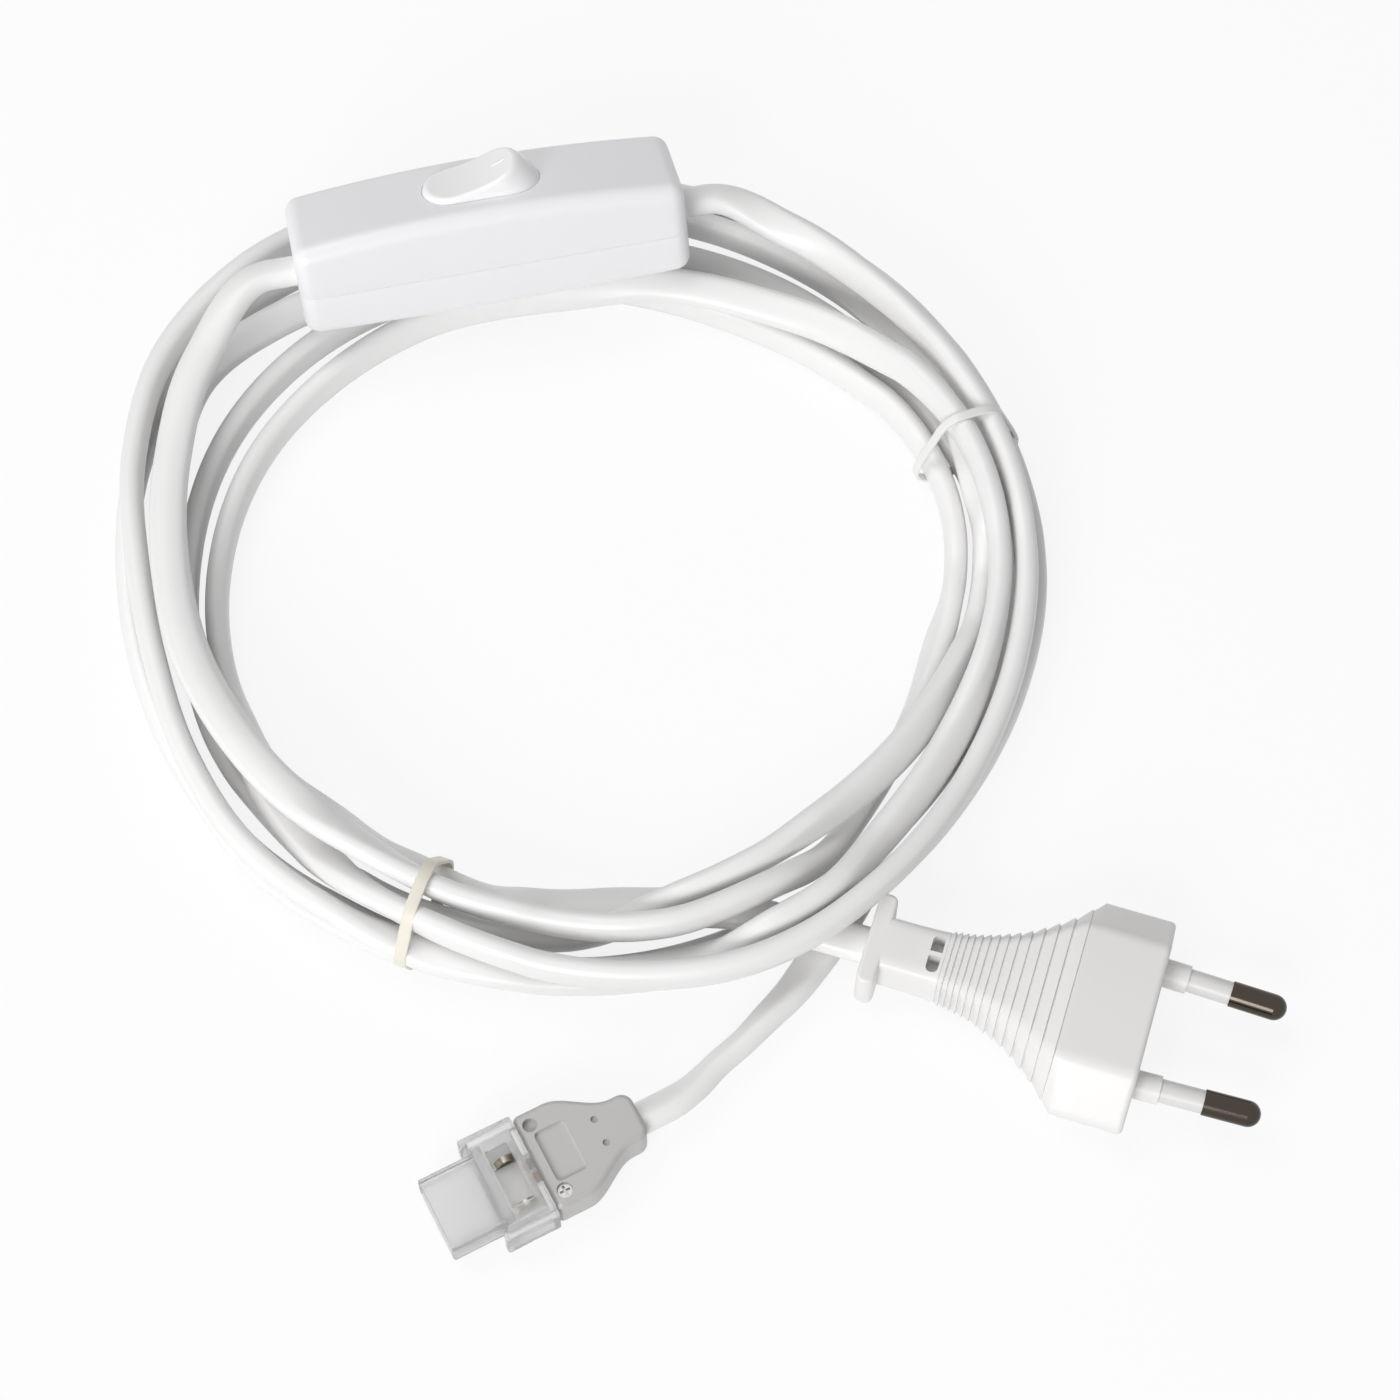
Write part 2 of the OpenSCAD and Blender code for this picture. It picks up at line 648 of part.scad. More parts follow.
module connector_cores() color("saddlebrown") at_connector() both_sides()
    translate([0, core_d / 2 + 0.2, core_z]) rod_x(core_d, 2.2, clip_x + clip_wall + 0.2);

// ---------------------------------------------------------------- cord

// Each row is [clock angle, radius, height, tilt]. The clock angle runs clockwise from +Y round
// the coil and on past a full turn. Tilt 0 stands the cord on edge, 90 lays it flat.
plug_turns = [
    [164, 58.9, 1.9, 90], [172, 57.2, 1.9, 90], [180, 57, 1.9, 90], [190, 57.2, 2.7, 40],
    [197, 57, 3.8, 10], [203, 56.8, 5.2, 5], [210, 57.2, 6.7, 20], [218, 57.9, 9.4, 50],
    [225, 59.6, 11, 85], [232, 60.2, 11.1, 90], [240, 60.5, 10.7, 90], [255, 62.2, 8.9, 90],
    [270, 64.6, 8.3, 90], [285, 68.6, 7.8, 90], [300, 73.1, 6.4, 85], [315, 71.6, 4, 75],
    [330, 68.6, 1.9, 90], [360, 66.6, 1.9, 90], [375, 66.4, 1.9, 90], [390, 66.4, 1.9, 90],
    [405, 66.5, 1.9, 90], [420, 68, 1.9, 90], [435, 69.4, 1.9, 90], [443, 70.2, 2.4, 50],
    [450, 70.7, 3, 0], [465, 69.2, 3, 0], [480, 67.8, 3, 0], [495, 67.2, 3, 0], [501, 68, 3, 10],
    [508, 68, 2.1, 70], [513, 68.2, 1.9, 90], [525, 68.4, 1.9, 90], [540, 68.4, 1.9, 90],
    [562, 68.2, 1.9, 90], [570, 68.2, 1.9, 90], [585, 69, 2.5, 50], [600, 69.4, 3, 0],
    [630, 72.4, 3, 0], [645, 75.5, 3, 0], [660, 78, 3, 0], [675, 78.5, 3, 0], [690, 76, 3, 0],
    [705, 74.6, 3, 0], [720, 73.8, 3, 0], [735, 73.6, 3, 0], [750, 72.8, 3, 0], [762, 72.4, 3.6, 20],
    [771, 71.8, 6.2, 60], [780, 70.6, 6.8, 70], [795, 68, 6.9, 60], [803, 67.2, 6.8, 10],
    [810, 66.4, 4.8, 0], [818, 65.2, 5.4, 0], [825, 63.9, 7.6, -15], [840, 62, 9.6, -40],
    [855, 60.5, 10.6, -30], [862, 60.2, 11.2, -15], [870, 60.4, 11.2, 0], [881, 60.8, 10.4, 0],
    [888, 61.3, 8.4, 0], [893, 61.9, 5.4, 0], [900, 62.5, 3.4, 0], [907, 62.6, 3, 0], [930, 62.5, 3, 0],
    [937, 62, 2.4, 60], [945, 61.4, 1.9, 90], [953, 61.4, 1.9, 90], [962, 62.4, 2.7, 30],
    [975, 62.6, 3, 0], [990, 62.8, 3, 0], [1020, 64.3, 3, 0], [1050, 63, 3, 0], [1080, 58.4, 3, 0],
    [1110, 57.8, 3, 0], [1125, 59.8, 3, 0], [1140, 62.4, 3, 0], [1155, 63.2, 3, 0], [1170, 61.9, 3, 0],
    [1180, 60, 2.9, 30], [1200, 59.9, 3, 0], [1215, 62.1, 3.6, 0], [1222, 63.9, 5.8, 0],
    [1230, 64.9, 10.6, 0], [1234, 65.1, 11.5, 0], [1238, 65.3, 11.8, 0], [1245, 65.6, 11.8, 0],
    [1252, 64.8, 11.4, 0], [1260, 63.2, 10.7, 0], [1275, 61.4, 11, 10], [1290, 60.2, 12.8, 40],
    [1297, 60.5, 14.5, 60], [1305, 60.9, 15.4, 88], [1313, 61.1, 15.4, 90], [1320, 61.4, 15, 90],
    [1335, 62.6, 13.9, 90], [1350, 64.2, 13.4, 90], [1365, 67.2, 13.6, 90], [1380, 71, 15, 90],
    [1388, 71.8, 16.4, 95]
];

switch_turns = [
    [22, 69.1, 16.9, 85], [30, 70.3, 15.3, 55], [45, 71.1, 13.2, 15], [60, 71.4, 12.8, 0],
    [75, 72.3, 12.2, 0], [90, 72.7, 11.2, 0], [105, 72.6, 10.4, 0], [120, 72.8, 9.8, 0],
    [135, 74, 11.4, 0], [143, 74.8, 12.3, 0], [150, 75.4, 12.4, 0], [160, 75.2, 12.4, 0],
    [170, 73.4, 12.1, 0], [180, 71.2, 11.8, 0], [195, 67.6, 11.4, 0], [203, 66, 10.6, 15],
    [210, 64.9, 9.3, 40], [220, 62.9, 7.4, 75], [232, 60.3, 6.7, 80], [241, 58.2, 5.4, 20],
    [252, 58, 3, 0], [270, 57.8, 3, 0], [300, 57.5, 3.2, 0], [330, 55, 6, 15], [360, 53.6, 7.7, 45],
    [375, 56, 9, 60], [390, 58.4, 9, 65], [405, 62, 10, 50], [420, 65.5, 12.1, 15],
    [435, 67.7, 13.2, 0], [442, 68.1, 13.2, 0], [450, 68.4, 12.6, 0], [465, 68, 11.6, -15],
    [480, 67.6, 9.6, -40], [495, 68.5, 10, -30], [506, 70.7, 12.2, 0], [513, 71, 11.9, 0],
    [519, 70.9, 9.2, 20], [525, 70.8, 6.5, 75], [532, 70.4, 6.2, 90], [540, 70, 6.2, 90],
    [555, 69.8, 6.2, 90], [563, 69.8, 6.8, 50], [570, 69.8, 7.8, 20], [585, 69.9, 9.2, 0],
    [600, 68.6, 9.6, 0], [615, 68, 9.5, 0], [630, 69.9, 9.4, 0], [645, 74.7, 9.4, 0],
    [660, 79.3, 9.4, 0], [675, 80.3, 9.4, 0], [683, 80, 8.6, 0], [690, 79.8, 7.4, 0], [705, 79.2, 4, 0],
    [720, 78.6, 3, 0], [735, 78.2, 3, 0], [750, 77.8, 3, 0], [765, 77.2, 3, 0], [780, 76, 3, 0],
    [795, 75.4, 3, 0], [810, 75, 3, 0], [825, 73.6, 3, 0], [840, 72.4, 3, 0], [855, 71.8, 3, 0]
];

step = 15;                              // clock angle between two rings

// The turns are raised by one band where a tie passes under them
function raised(a) = let (
    near = min([for (t = [tie_upper_at, tie_lower_at]) let (d = abs(a - t) % 360) min(d, 360 - d)])
) (tie_t + 0.1) * ease((18 - near) / 6);

// Row of a table at clock angle a, never sunk into the surface below
function turn_at(t, a) = let (
    r = lookup(a, [for (q = t) [q[0], q[1]]]),
    z = lookup(a, [for (q = t) [q[0], q[2]]]),
    tilt = lookup(a, [for (q = t) [q[0], q[3]]]),
    low = cord_t / 2 + (cord_w - cord_t) / 2 * abs(cos(tilt))
) [r, max(z, low) + raised(a), tilt];

// One ring: the six corners of a flat oval round p, for a cord that heads along angle h
function ring(p, h, tilt) = let (
    side = [-sin(h), cos(h), 0],
    wide = sin(tilt) * side + [0, 0, cos(tilt)],
    thin = cos(tilt) * side - [0, 0, sin(tilt)],
    a = cord_w / 2,
    b = cord_t / 2,
    c = (cord_w - cord_t) / 2
) [for (q = [[a, 0], [c, b], [-c, b], [-a, 0], [-c, -b], [c, -b]]) p + q[0] * wide + q[1] * thin];

function clock_point(a, r, z) = [coil_x + r * sin(a), coil_y + r * cos(a), z];

function turn_ring(t, a) = let (q = turn_at(t, a)) ring(clock_point(a, q[0], q[1]), -a, q[2]);

// The cord leaves the switch square to its ends, as wide as the housing is deep
function sw_end(s) = let (
    c = s * sw_len / 2,
    up = seam_z
) [
    sw_x + c * cos(sw_yaw) - up * sin(sw_lean) * sin(sw_yaw),
    sw_y + c * sin(sw_yaw) + up * sin(sw_lean) * cos(sw_yaw),
    sw_z + up * cos(sw_lean)
];
sw_tilt = 90 + sw_lean;
straight = 5;

function sw_ring(s, out) = let (
    p = sw_end(s),
    d = [cos(sw_yaw), sin(sw_yaw), 0] * s * out
) ring(p + d, sw_yaw, sw_tilt);

// A closed tube through rings of n points each
module tube(rings) {
    n = len(rings[0]);
    m = len(rings);
    polyhedron(
        points = [for (r = rings, p = r) p],
        faces = concat(
            [for (i = [1 : n - 2]) [0, i + 1, i]],
            [for (j = [0 : m - 2], i = [0 : n - 1]) each let (k = (i + 1) % n) [
                [j * n + i, (j + 1) * n + k, (j + 1) * n + i],
                [j * n + i, j * n + k, (j + 1) * n + k]
            ]],
            [for (i = [1 : n - 2]) [(m - 1) * n, (m - 1) * n + i, (m - 1) * n + i + 1]]
        ),
        convexity = 20
    );
}

plug_start = 164;
plug_end = 1380;
switch_start = 30;
switch_end = 855;

plug_angles = concat([plug_start], [for (a = [180 : step : plug_end]) a]);
switch_angles = [for (a = [switch_start : step : switch_end]) a];

module coil_plug_side() color("white") tube(concat(
    [for (a = plug_angles) turn_ring(plug_turns, a)],
    [sw_ring(-1, straight), sw_ring(-1, seat)]
));

module coil_switch_side() color("white") tube(concat(
    [sw_ring(1, seat), sw_ring(1, straight)],
    [for (a = switch_angles) turn_ring(switch_turns, a)]
));

// Least gap between turns: points along the middle line of every section, at the same clock
// angle, less the cord's thickness
function spine(t, a) = let (q = turn_at(t, a)) [for (u = [-2 : 2])
    [q[0], q[1]] + u / 4 * (cord_w - cord_t) * [sin(q[2]), cos(q[2])]];
function gap_at(t, a, s, b) = min([for (p = spine(t, a), q = spine(s, b)) norm(p - q)]) - cord_t;
plug_gap = min([for (a = plug_angles, b = plug_angles)
    if (a > b && (a - b) % 360 == 0) gap_at(plug_turns, a, plug_turns, b)]);
switch_gap = min([for (a = switch_angles, b = switch_angles)
    if (a > b && (a - b) % 360 == 0) gap_at(switch_turns, a, switch_turns, b)]);
cross_gap = min([for (a = plug_angles, b = switch_angles)
    if ((a - b) % 360 == 0) gap_at(plug_turns, a, switch_turns, b)]);
echo(least_gap_plug_side = plug_gap, least_gap_switch_side = switch_gap, least_gap_between = cross_gap);

// Free stretches: [x, y, z, tilt], from the plug to the coil and from the coil to the connector
plug_route = [
    [2.4, -42.4, 6.4, 90],
    [-4.6, -40.3, 6.1, 90],
    [-10.6, -38.9, 3.9, 90]
];
connector_route = [
    [14.6, -36.4, 2.9, 25],
    [10.9, -41.1, 2.3, 66],
    [8.7, -44.4, 2.3, 72],
    [6.4, -47.8, 2.4, 66],
    [3.1, -52.5, 2.9, 25],
    [-0.5, -56.4, 3, 12],
    [-4, -60.2, 3, 10],
    [-8.2, -64.1, 3.2, 15],
    [-11.6, -67.8, 3.7, 30]
];
connector_tilt = 50;                   // the cord enters the connector turned this far

function heading(a, b) = atan2(b[1] - a[1], b[0] - a[0]);

// Rings at the inner points of a route that starts at p0 and ends at p1
function route_rings(route, p0, p1) = let (
    all = concat([p0], [for (q = route) [q[0], q[1], q[2]]], [p1])
) [for (i = [0 : len(route) - 1]) ring(all[i + 1], heading(all[i], all[i + 2]), route[i][3])];

function turn_point(t, a) = let (q = turn_at(t, a)) clock_point(a, q[0], q[1]);

module lead_plug() color("white") {
    back = [-cos(plug_yaw), -sin(plug_yaw), 0];
    exit = [plug_x, plug_y, head_h / 2] + seat * back;
    tube(concat(
        [ring(exit, plug_yaw + 180, 90), ring(exit + straight * back, plug_yaw + 180, 90)],
        route_rings(plug_route, exit + straight * back, turn_point(plug_turns, plug_start)),
        [turn_ring(plug_turns, plug_start)]
    ));
}

module lead_connector() color("white") {
    out = [cos(con_yaw), sin(con_yaw), 0];
    entry = [con_x, con_y, con_z] - seat * out;
    tube(concat(
        [turn_ring(switch_turns, switch_end)],
        route_rings(connector_route, turn_point(switch_turns, switch_end), entry - straight * out),
        [ring(entry - straight * out, con_yaw, connector_tilt), ring(entry, con_yaw, connector_tilt)]
    ));
}

// ---------------------------------------------------------------- ties

// A band round the bundle at clock angle a: outline is its inner side, as [radius, height]
module band(a, outline, w) translate([coil_x, coil_y, 0]) rotate([0, 0, -a]) rotate([90, 0, 90])
    translate([0, 0, -w / 2]) linear_extrude(w) translate([0, tie_t]) difference() {
        offset(tie_t) polygon(outline);
        polygon(outline);
    }

module tie_upper() color("white") band(tie_upper_at, [
    [62.2, 0], [60.1, 1.9], [60.1, 4.7], [64, 14.7], [65.4, 15.8], [66.7, 16.3],
    [71.6, 15.8], [73.6, 14], [77.3, 4.7], [77.3, 1.9], [75.2, 0]
], tie_upper_w);

module tie_lower() color("ivory") band(tie_lower_at, [
    [61.8, 0], [55.4, 0.9], [54.1, 4.4], [54.8, 6.7], [58.7, 13.9], [61.7, 14.9],
    [67.2, 14], [71.8, 8.1], [72.5, 6.9], [71.1, 1.9], [69.2, 0]
], tie_lower_w);

plug_body();
plug_insert();
plug_pins();
pin_sleeves();
plug_crimps();
plug_cores();
switch_cover();
switch_base();
rocker();
rocker_axle();
rocker_spring();
contact_bridge();
bridge_terminal();
fixed_contact();
terminal_screws();
cord_clamps();
clamp_screws();
housing_screws();
cord_ends();
switch_cores();
connector_body();
connector_clip();
strip_sleeve();
contact_springs();
contact_pad();
connector_screw();
connector_cores();
coil_plug_side();
coil_switch_side();
lead_plug();
lead_connector();
tie_upper();
tie_lower();
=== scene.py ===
# %% [markdown]
# # An extension cord with a plug, a rocker switch and a light-strip connector
# The imported CAD model is the frame: every piece made here lies in its coordinates. The frame
# is loaded first.

import json
import math

import bmesh
import bpy
import numpy as np
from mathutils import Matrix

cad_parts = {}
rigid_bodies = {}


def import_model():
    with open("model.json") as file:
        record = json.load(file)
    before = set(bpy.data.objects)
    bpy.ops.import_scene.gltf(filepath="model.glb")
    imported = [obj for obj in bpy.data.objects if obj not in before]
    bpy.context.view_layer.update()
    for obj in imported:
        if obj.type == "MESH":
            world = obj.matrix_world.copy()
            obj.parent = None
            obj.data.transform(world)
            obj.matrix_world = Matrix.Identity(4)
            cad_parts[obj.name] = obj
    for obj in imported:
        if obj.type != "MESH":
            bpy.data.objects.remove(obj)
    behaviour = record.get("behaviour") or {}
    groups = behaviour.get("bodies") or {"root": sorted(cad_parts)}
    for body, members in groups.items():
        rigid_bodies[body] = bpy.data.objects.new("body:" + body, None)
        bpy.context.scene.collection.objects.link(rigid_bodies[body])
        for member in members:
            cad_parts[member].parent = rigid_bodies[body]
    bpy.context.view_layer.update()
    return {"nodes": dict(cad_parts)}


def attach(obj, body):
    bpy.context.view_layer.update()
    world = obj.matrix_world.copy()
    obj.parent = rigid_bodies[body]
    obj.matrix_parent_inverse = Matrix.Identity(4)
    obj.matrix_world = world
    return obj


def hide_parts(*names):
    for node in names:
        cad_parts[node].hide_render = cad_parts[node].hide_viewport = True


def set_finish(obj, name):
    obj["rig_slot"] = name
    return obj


MM = 0.001
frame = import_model()
cad = frame["nodes"]

# %% [markdown]
# ## The camera
# The cord lies on a table and is seen from the front, looking steeply down. A lens of 78 mm at
# half a metre keeps the coil's ellipse nearly even from front to back. The camera's height and
# distance follow from one angle and one reach, so that either can be changed alone.

# %% Set the camera
CAMERA_RISE = math.radians(63)
CAMERA_REACH = 0.4865
CAMERA_LENS = 77.97
CAMERA_AIM = (-0.0106, -0.0009, 0.0)

lens = bpy.data.cameras.new("table_camera")
lens.lens = CAMERA_LENS
lens.sensor_width = 36.0
lens.clip_start = 0.01
camera = bpy.data.objects.new("table_camera", lens)
camera.location = (
    CAMERA_AIM[0],
    CAMERA_AIM[1] - CAMERA_REACH * math.cos(CAMERA_RISE),
    CAMERA_REACH * math.sin(CAMERA_RISE),
)
camera.rotation_euler = (math.pi / 2 - CAMERA_RISE, 0.0, 0.0)
scene = bpy.context.scene
scene.collection.objects.link(camera)
scene.camera = camera
scene.view_settings.view_transform = "Standard"
print("camera", [round(v, 4) for v in camera.location])

# %% [markdown]
# ## From arrays to meshes
# Every new piece is a grid of points that numpy works out at once. Each row of the grid is a
# closed loop round the piece, and the next row lies a little further along it. Joining the
# rows with quads gives a skin, and a fan of triangles closes each end. Such pieces could be
# pulled about by hand instead, but a formula keeps every size where it can be read and changed.

# %% Helpers for grids of points
def skin(rows, wrap_rows=False, ends=(True, True)):
    """Faces of a grid (rows, points, 3) whose rows are closed loops. Quads join each point to
    its neighbours in the loop and in the next row; an end is closed by a fan to its mean."""
    rows = np.asarray(rows, float)
    m, n = rows.shape[:2]
    points = rows.reshape(-1, 3)
    i = np.arange(m if wrap_rows else m - 1)[:, None]
    j = np.arange(n)[None, :]
    k, up = (j + 1) % n, (i + 1) % m
    quads = np.stack([i * n + j, i * n + k, up * n + k, up * n + j], -1).reshape(-1, 4)
    faces = quads.tolist()
    if not wrap_rows:
        j = np.arange(n)
        for row, closed, flip in ((0, ends[0], True), (m - 1, ends[1], False)):
            if closed:
                hub = len(points)
                points = np.vstack([points, rows[row].mean(0)])
                a, b = row * n + j, row * n + (j + 1) % n
                middle = np.full(n, hub)
                fan = np.stack([middle, b, a] if flip else [middle, a, b], -1)
                faces += fan.tolist()
    return points, faces


def joined(*shells):
    """Several (points, faces) shells as one, with the face numbers moved on."""
    points, faces, start = [], [], 0
    for p, f in shells:
        points.append(p)
        faces += [[v + start for v in face] for face in f]
        start += len(p)
    return np.vstack(points), faces


tube = np.array([[[0, 0, z], [1, 0, z], [1, 1, z], [0, 1, z]] for z in range(3)])
print("a closed square tube of two storeys has", len(skin(tube)[1]), "faces")

# %% [markdown]
# ## Where the hard pieces lie
# The plug, the switch and the connector are each drawn level and straight, about an origin of
# their own, and are then turned and moved to where they lie on the table. The place goes into
# the mesh and not into the object, because the CAD's own nodes do the same. The switch also
# leans back, since it rests on the turns of the cord.

# %% Places of the plug, the switch and the connector
def turned(points, yaw=0.0, lean=0.0, move=(0, 0, 0)):
    """Points turned by lean about X, then by yaw about Z (degrees), then moved."""
    a, b = math.radians(lean), math.radians(yaw)
    about_x = np.array([
        [1, 0, 0], [0, math.cos(a), -math.sin(a)], [0, math.sin(a), math.cos(a)],
    ])
    about_z = np.array([
        [math.cos(b), -math.sin(b), 0], [math.sin(b), math.cos(b), 0], [0, 0, 1],
    ])
    return np.asarray(points, float) @ (about_z @ about_x).T + np.array(move, float)


def placed(shells, place):
    """Each of several shells put in its place."""
    return [(place(points), faces) for points, faces in shells]


PLUG_AT, PLUG_YAW = (14.7, -46.2, 6.85), -17.5
SWITCH_AT, SWITCH_YAW, SWITCH_LEAN = (-46, 77.3, 19), 12, 21.5
CONNECTOR_AT, CONNECTOR_YAW = (-19.6, -72.9, 4.2), 207.7


def at_plug(points):
    """Plug frame, whose origin is at the flange and +X points to the pins, as it lies."""
    return turned(points, yaw=PLUG_YAW, move=PLUG_AT)


def at_switch(points):
    """Switch frame, whose origin is in the middle of the housing, as it lies."""
    return turned(points, yaw=SWITCH_YAW, lean=-SWITCH_LEAN, move=SWITCH_AT)


def at_connector(points):
    """Connector frame, whose origin is where the cord enters and +X is to the strip, as it lies."""
    return turned(points, yaw=CONNECTOR_YAW, move=CONNECTOR_AT)


print("the plug points along", np.round(at_plug([1, 0, 0]) - at_plug([0, 0, 0]), 3))

# %% [markdown]
# ## From shells to objects
# A shell becomes an object in metres. Points that coincide are merged before the normals are
# worked out, so that no seam stays open. Holes and joints between mouldings are booleans: they
# cut where two shapes meet, which a grid could only do with rows laid out for each hole.

# %% Objects and booleans
SAME_POINT = 2e-7  # metres: points closer than this are one point


def piece(name, shell, place=None, crease=35.0):
    """An object whose mesh is the shell in millimetres, put in its place in metres. Points that
    coincide are merged, faces are turned outwards, and edges sharper than crease stay sharp."""
    points, faces = shell
    if place is not None:
        points = place(points)
    mesh = bpy.data.meshes.new(name)
    mesh.from_pydata((np.asarray(points) * MM).tolist(), [], faces)
    work = bmesh.new()
    work.from_mesh(mesh)
    bmesh.ops.remove_doubles(work, verts=work.verts, dist=SAME_POINT)
    bmesh.ops.recalc_face_normals(work, faces=work.faces)
    work.to_mesh(mesh)
    work.free()
    mesh.polygons.foreach_set("use_smooth", np.ones(len(mesh.polygons), bool))
    mesh.set_sharp_from_angle(angle=math.radians(crease))
    mesh.update()
    made = bpy.data.objects.new(name, mesh)
    scene.collection.objects.link(made)
    return made


def worked(target, tools, how="DIFFERENCE", crease=35.0):
    """The target with each tool cut out of it or joined to it, as its new mesh."""
    for number, shell in enumerate(tools):
        tool = piece("tool_%d" % number, shell)
        change = target.modifiers.new("work", "BOOLEAN")
        change.operation = how
        change.solver = "EXACT"
        change.object = tool
        bpy.context.view_layer.update()
        graph = bpy.context.evaluated_depsgraph_get()
        result = bpy.data.meshes.new_from_object(target.evaluated_get(graph))
        target.modifiers.clear()
        old, target.data = target.data, result
        bpy.data.meshes.remove(old)
        spare = tool.data
        bpy.data.objects.remove(tool)
        bpy.data.meshes.remove(spare)
    target.data.name = target.name
    target.data.polygons.foreach_set("use_smooth", np.ones(len(target.data.polygons), bool))
    target.data.set_sharp_from_angle(angle=math.radians(crease))
    return target


print("points closer than", SAME_POINT, "m are merged")

# %% [markdown]
# ## Outlines
# Moulded pieces have rounded corners and edges. One function rounds the corners of a polygon,
# and one raises an outline to a block whose lower and upper edges are rounded as well. A Bevel
# modifier would do for plain blocks, but these outlines are also joined to other rows.

# %% Helpers for outlines and blocks
def quarter(steps):
    """Angles that divide a quarter turn evenly, from 0 to 90 degrees."""
    return np.linspace(0, math.pi / 2, steps)


def eased(u):
    """Smooth step from 0 to 1: 3u squared less 2u cubed, held at its ends."""
    v = np.clip(u, 0.0, 1.0)
    return v * v * (3 - 2 * v)


def rounded(corners, cut, steps=6):
    """Closed loop in which each corner gives way to a quadratic curve. The curve starts and
    ends the length cut before and after the corner, or nearly half a short side."""
    v = np.asarray(corners, float)
    to_last, to_next = np.roll(v, 1, -2) - v, np.roll(v, -1, -2) - v
    last = np.linalg.norm(to_last, axis=-1, keepdims=True)
    following = np.linalg.norm(to_next, axis=-1, keepdims=True)
    a = v + to_last / last * np.minimum(cut, 0.49 * last)
    b = v + to_next / following * np.minimum(cut, 0.49 * following)
    t = np.linspace(0, 1, steps + 1)[:, None]
    a, v, b = a[..., None, :], v[..., None, :], b[..., None, :]
    curve = a * (1 - t) ** 2 + 2 * v * t * (1 - t) + b * t**2
    return curve.reshape(*curve.shape[:-3], -1, 2)


def inset(loop, by):
    """A counter-clockwise loop moved inwards along its normals."""
    along = np.roll(loop, -1, 0) - np.roll(loop, 1, 0)
    out = np.stack([along[:, 1], -along[:, 0]], 1)
    out /= np.maximum(np.linalg.norm(out, axis=1, keepdims=True), 1e-9)
    return loop - by * out


def rectangle(x0, x1, y0, y1, cut, steps=6):
    """Rounded rectangle, counter-clockwise."""
    return rounded([[x0, y0], [x1, y0], [x1, y1], [x0, y1]], cut, steps)


def circle(x, y, r, steps=32):
    """Circle of radius r round (x, y), counter-clockwise."""
    a = np.arange(steps) * 2 * math.pi / steps
    return np.stack([x + r * np.cos(a), y + r * np.sin(a)], 1)


FLAT_ROW = 0.08  # this far inside a rounded edge a row keeps the flat end flat


def block(loop, z0, z1, low=0.0, high=0.0, steps=5):
    """Closed block over an outline from z0 to z1. Its edges are quarter circles of radius low
    and high, and one more row inside each edge keeps the flat ends flat when shaded."""
    rows = []
    if low > 0:
        rows.append((low + FLAT_ROW, z0))
        rows += [(low * (1 - math.sin(a)), z0 + low * (1 - math.cos(a))) for a in quarter(steps)]
    else:
        rows.append((0.0, z0))
    if high > 0:
        rows += [(high * (1 - math.cos(a)), z1 - high * (1 - math.sin(a))) for a in quarter(steps)]
        rows.append((high + FLAT_ROW, z1))
    else:
        rows.append((0.0, z1))
    grid = np.stack([
        np.concatenate([inset(loop, by), np.full((len(loop), 1), z)], 1) for by, z in rows
    ])
    return skin(grid)


print("a rounded square has", len(rectangle(0, 1, 0, 1, 0.2)), "points")

# %% [markdown]
# ## The flat twin cord: where it runs
# The cord is oval, 6 mm wide and 3.8 mm thick. It leaves both ends of the switch. The side
# that goes to the plug makes nearly three and a half loose turns, and the side that goes to
# the connector a little over two. A row holds a clock angle, a radius, a height and a tilt, and
# smooth cubics run from row to row, so that nothing kinks. Tilt 0 stands the cord on its edge
# and 90 lays it flat. A curve object with a round bevel would be shorter to write, but its
# twist can't be steered row by row, and this cord is flat, so its twist is most of its look.

# %% The turns and the free stretches
CORD_W, CORD_T = 6.0, 3.8
COIL = np.array([-31.1, 19.1])
TIES_AT = (70, 200)
TIE_LIFT, LIFT_STARTS, LIFT_TAKES = 0.7, 18, 6

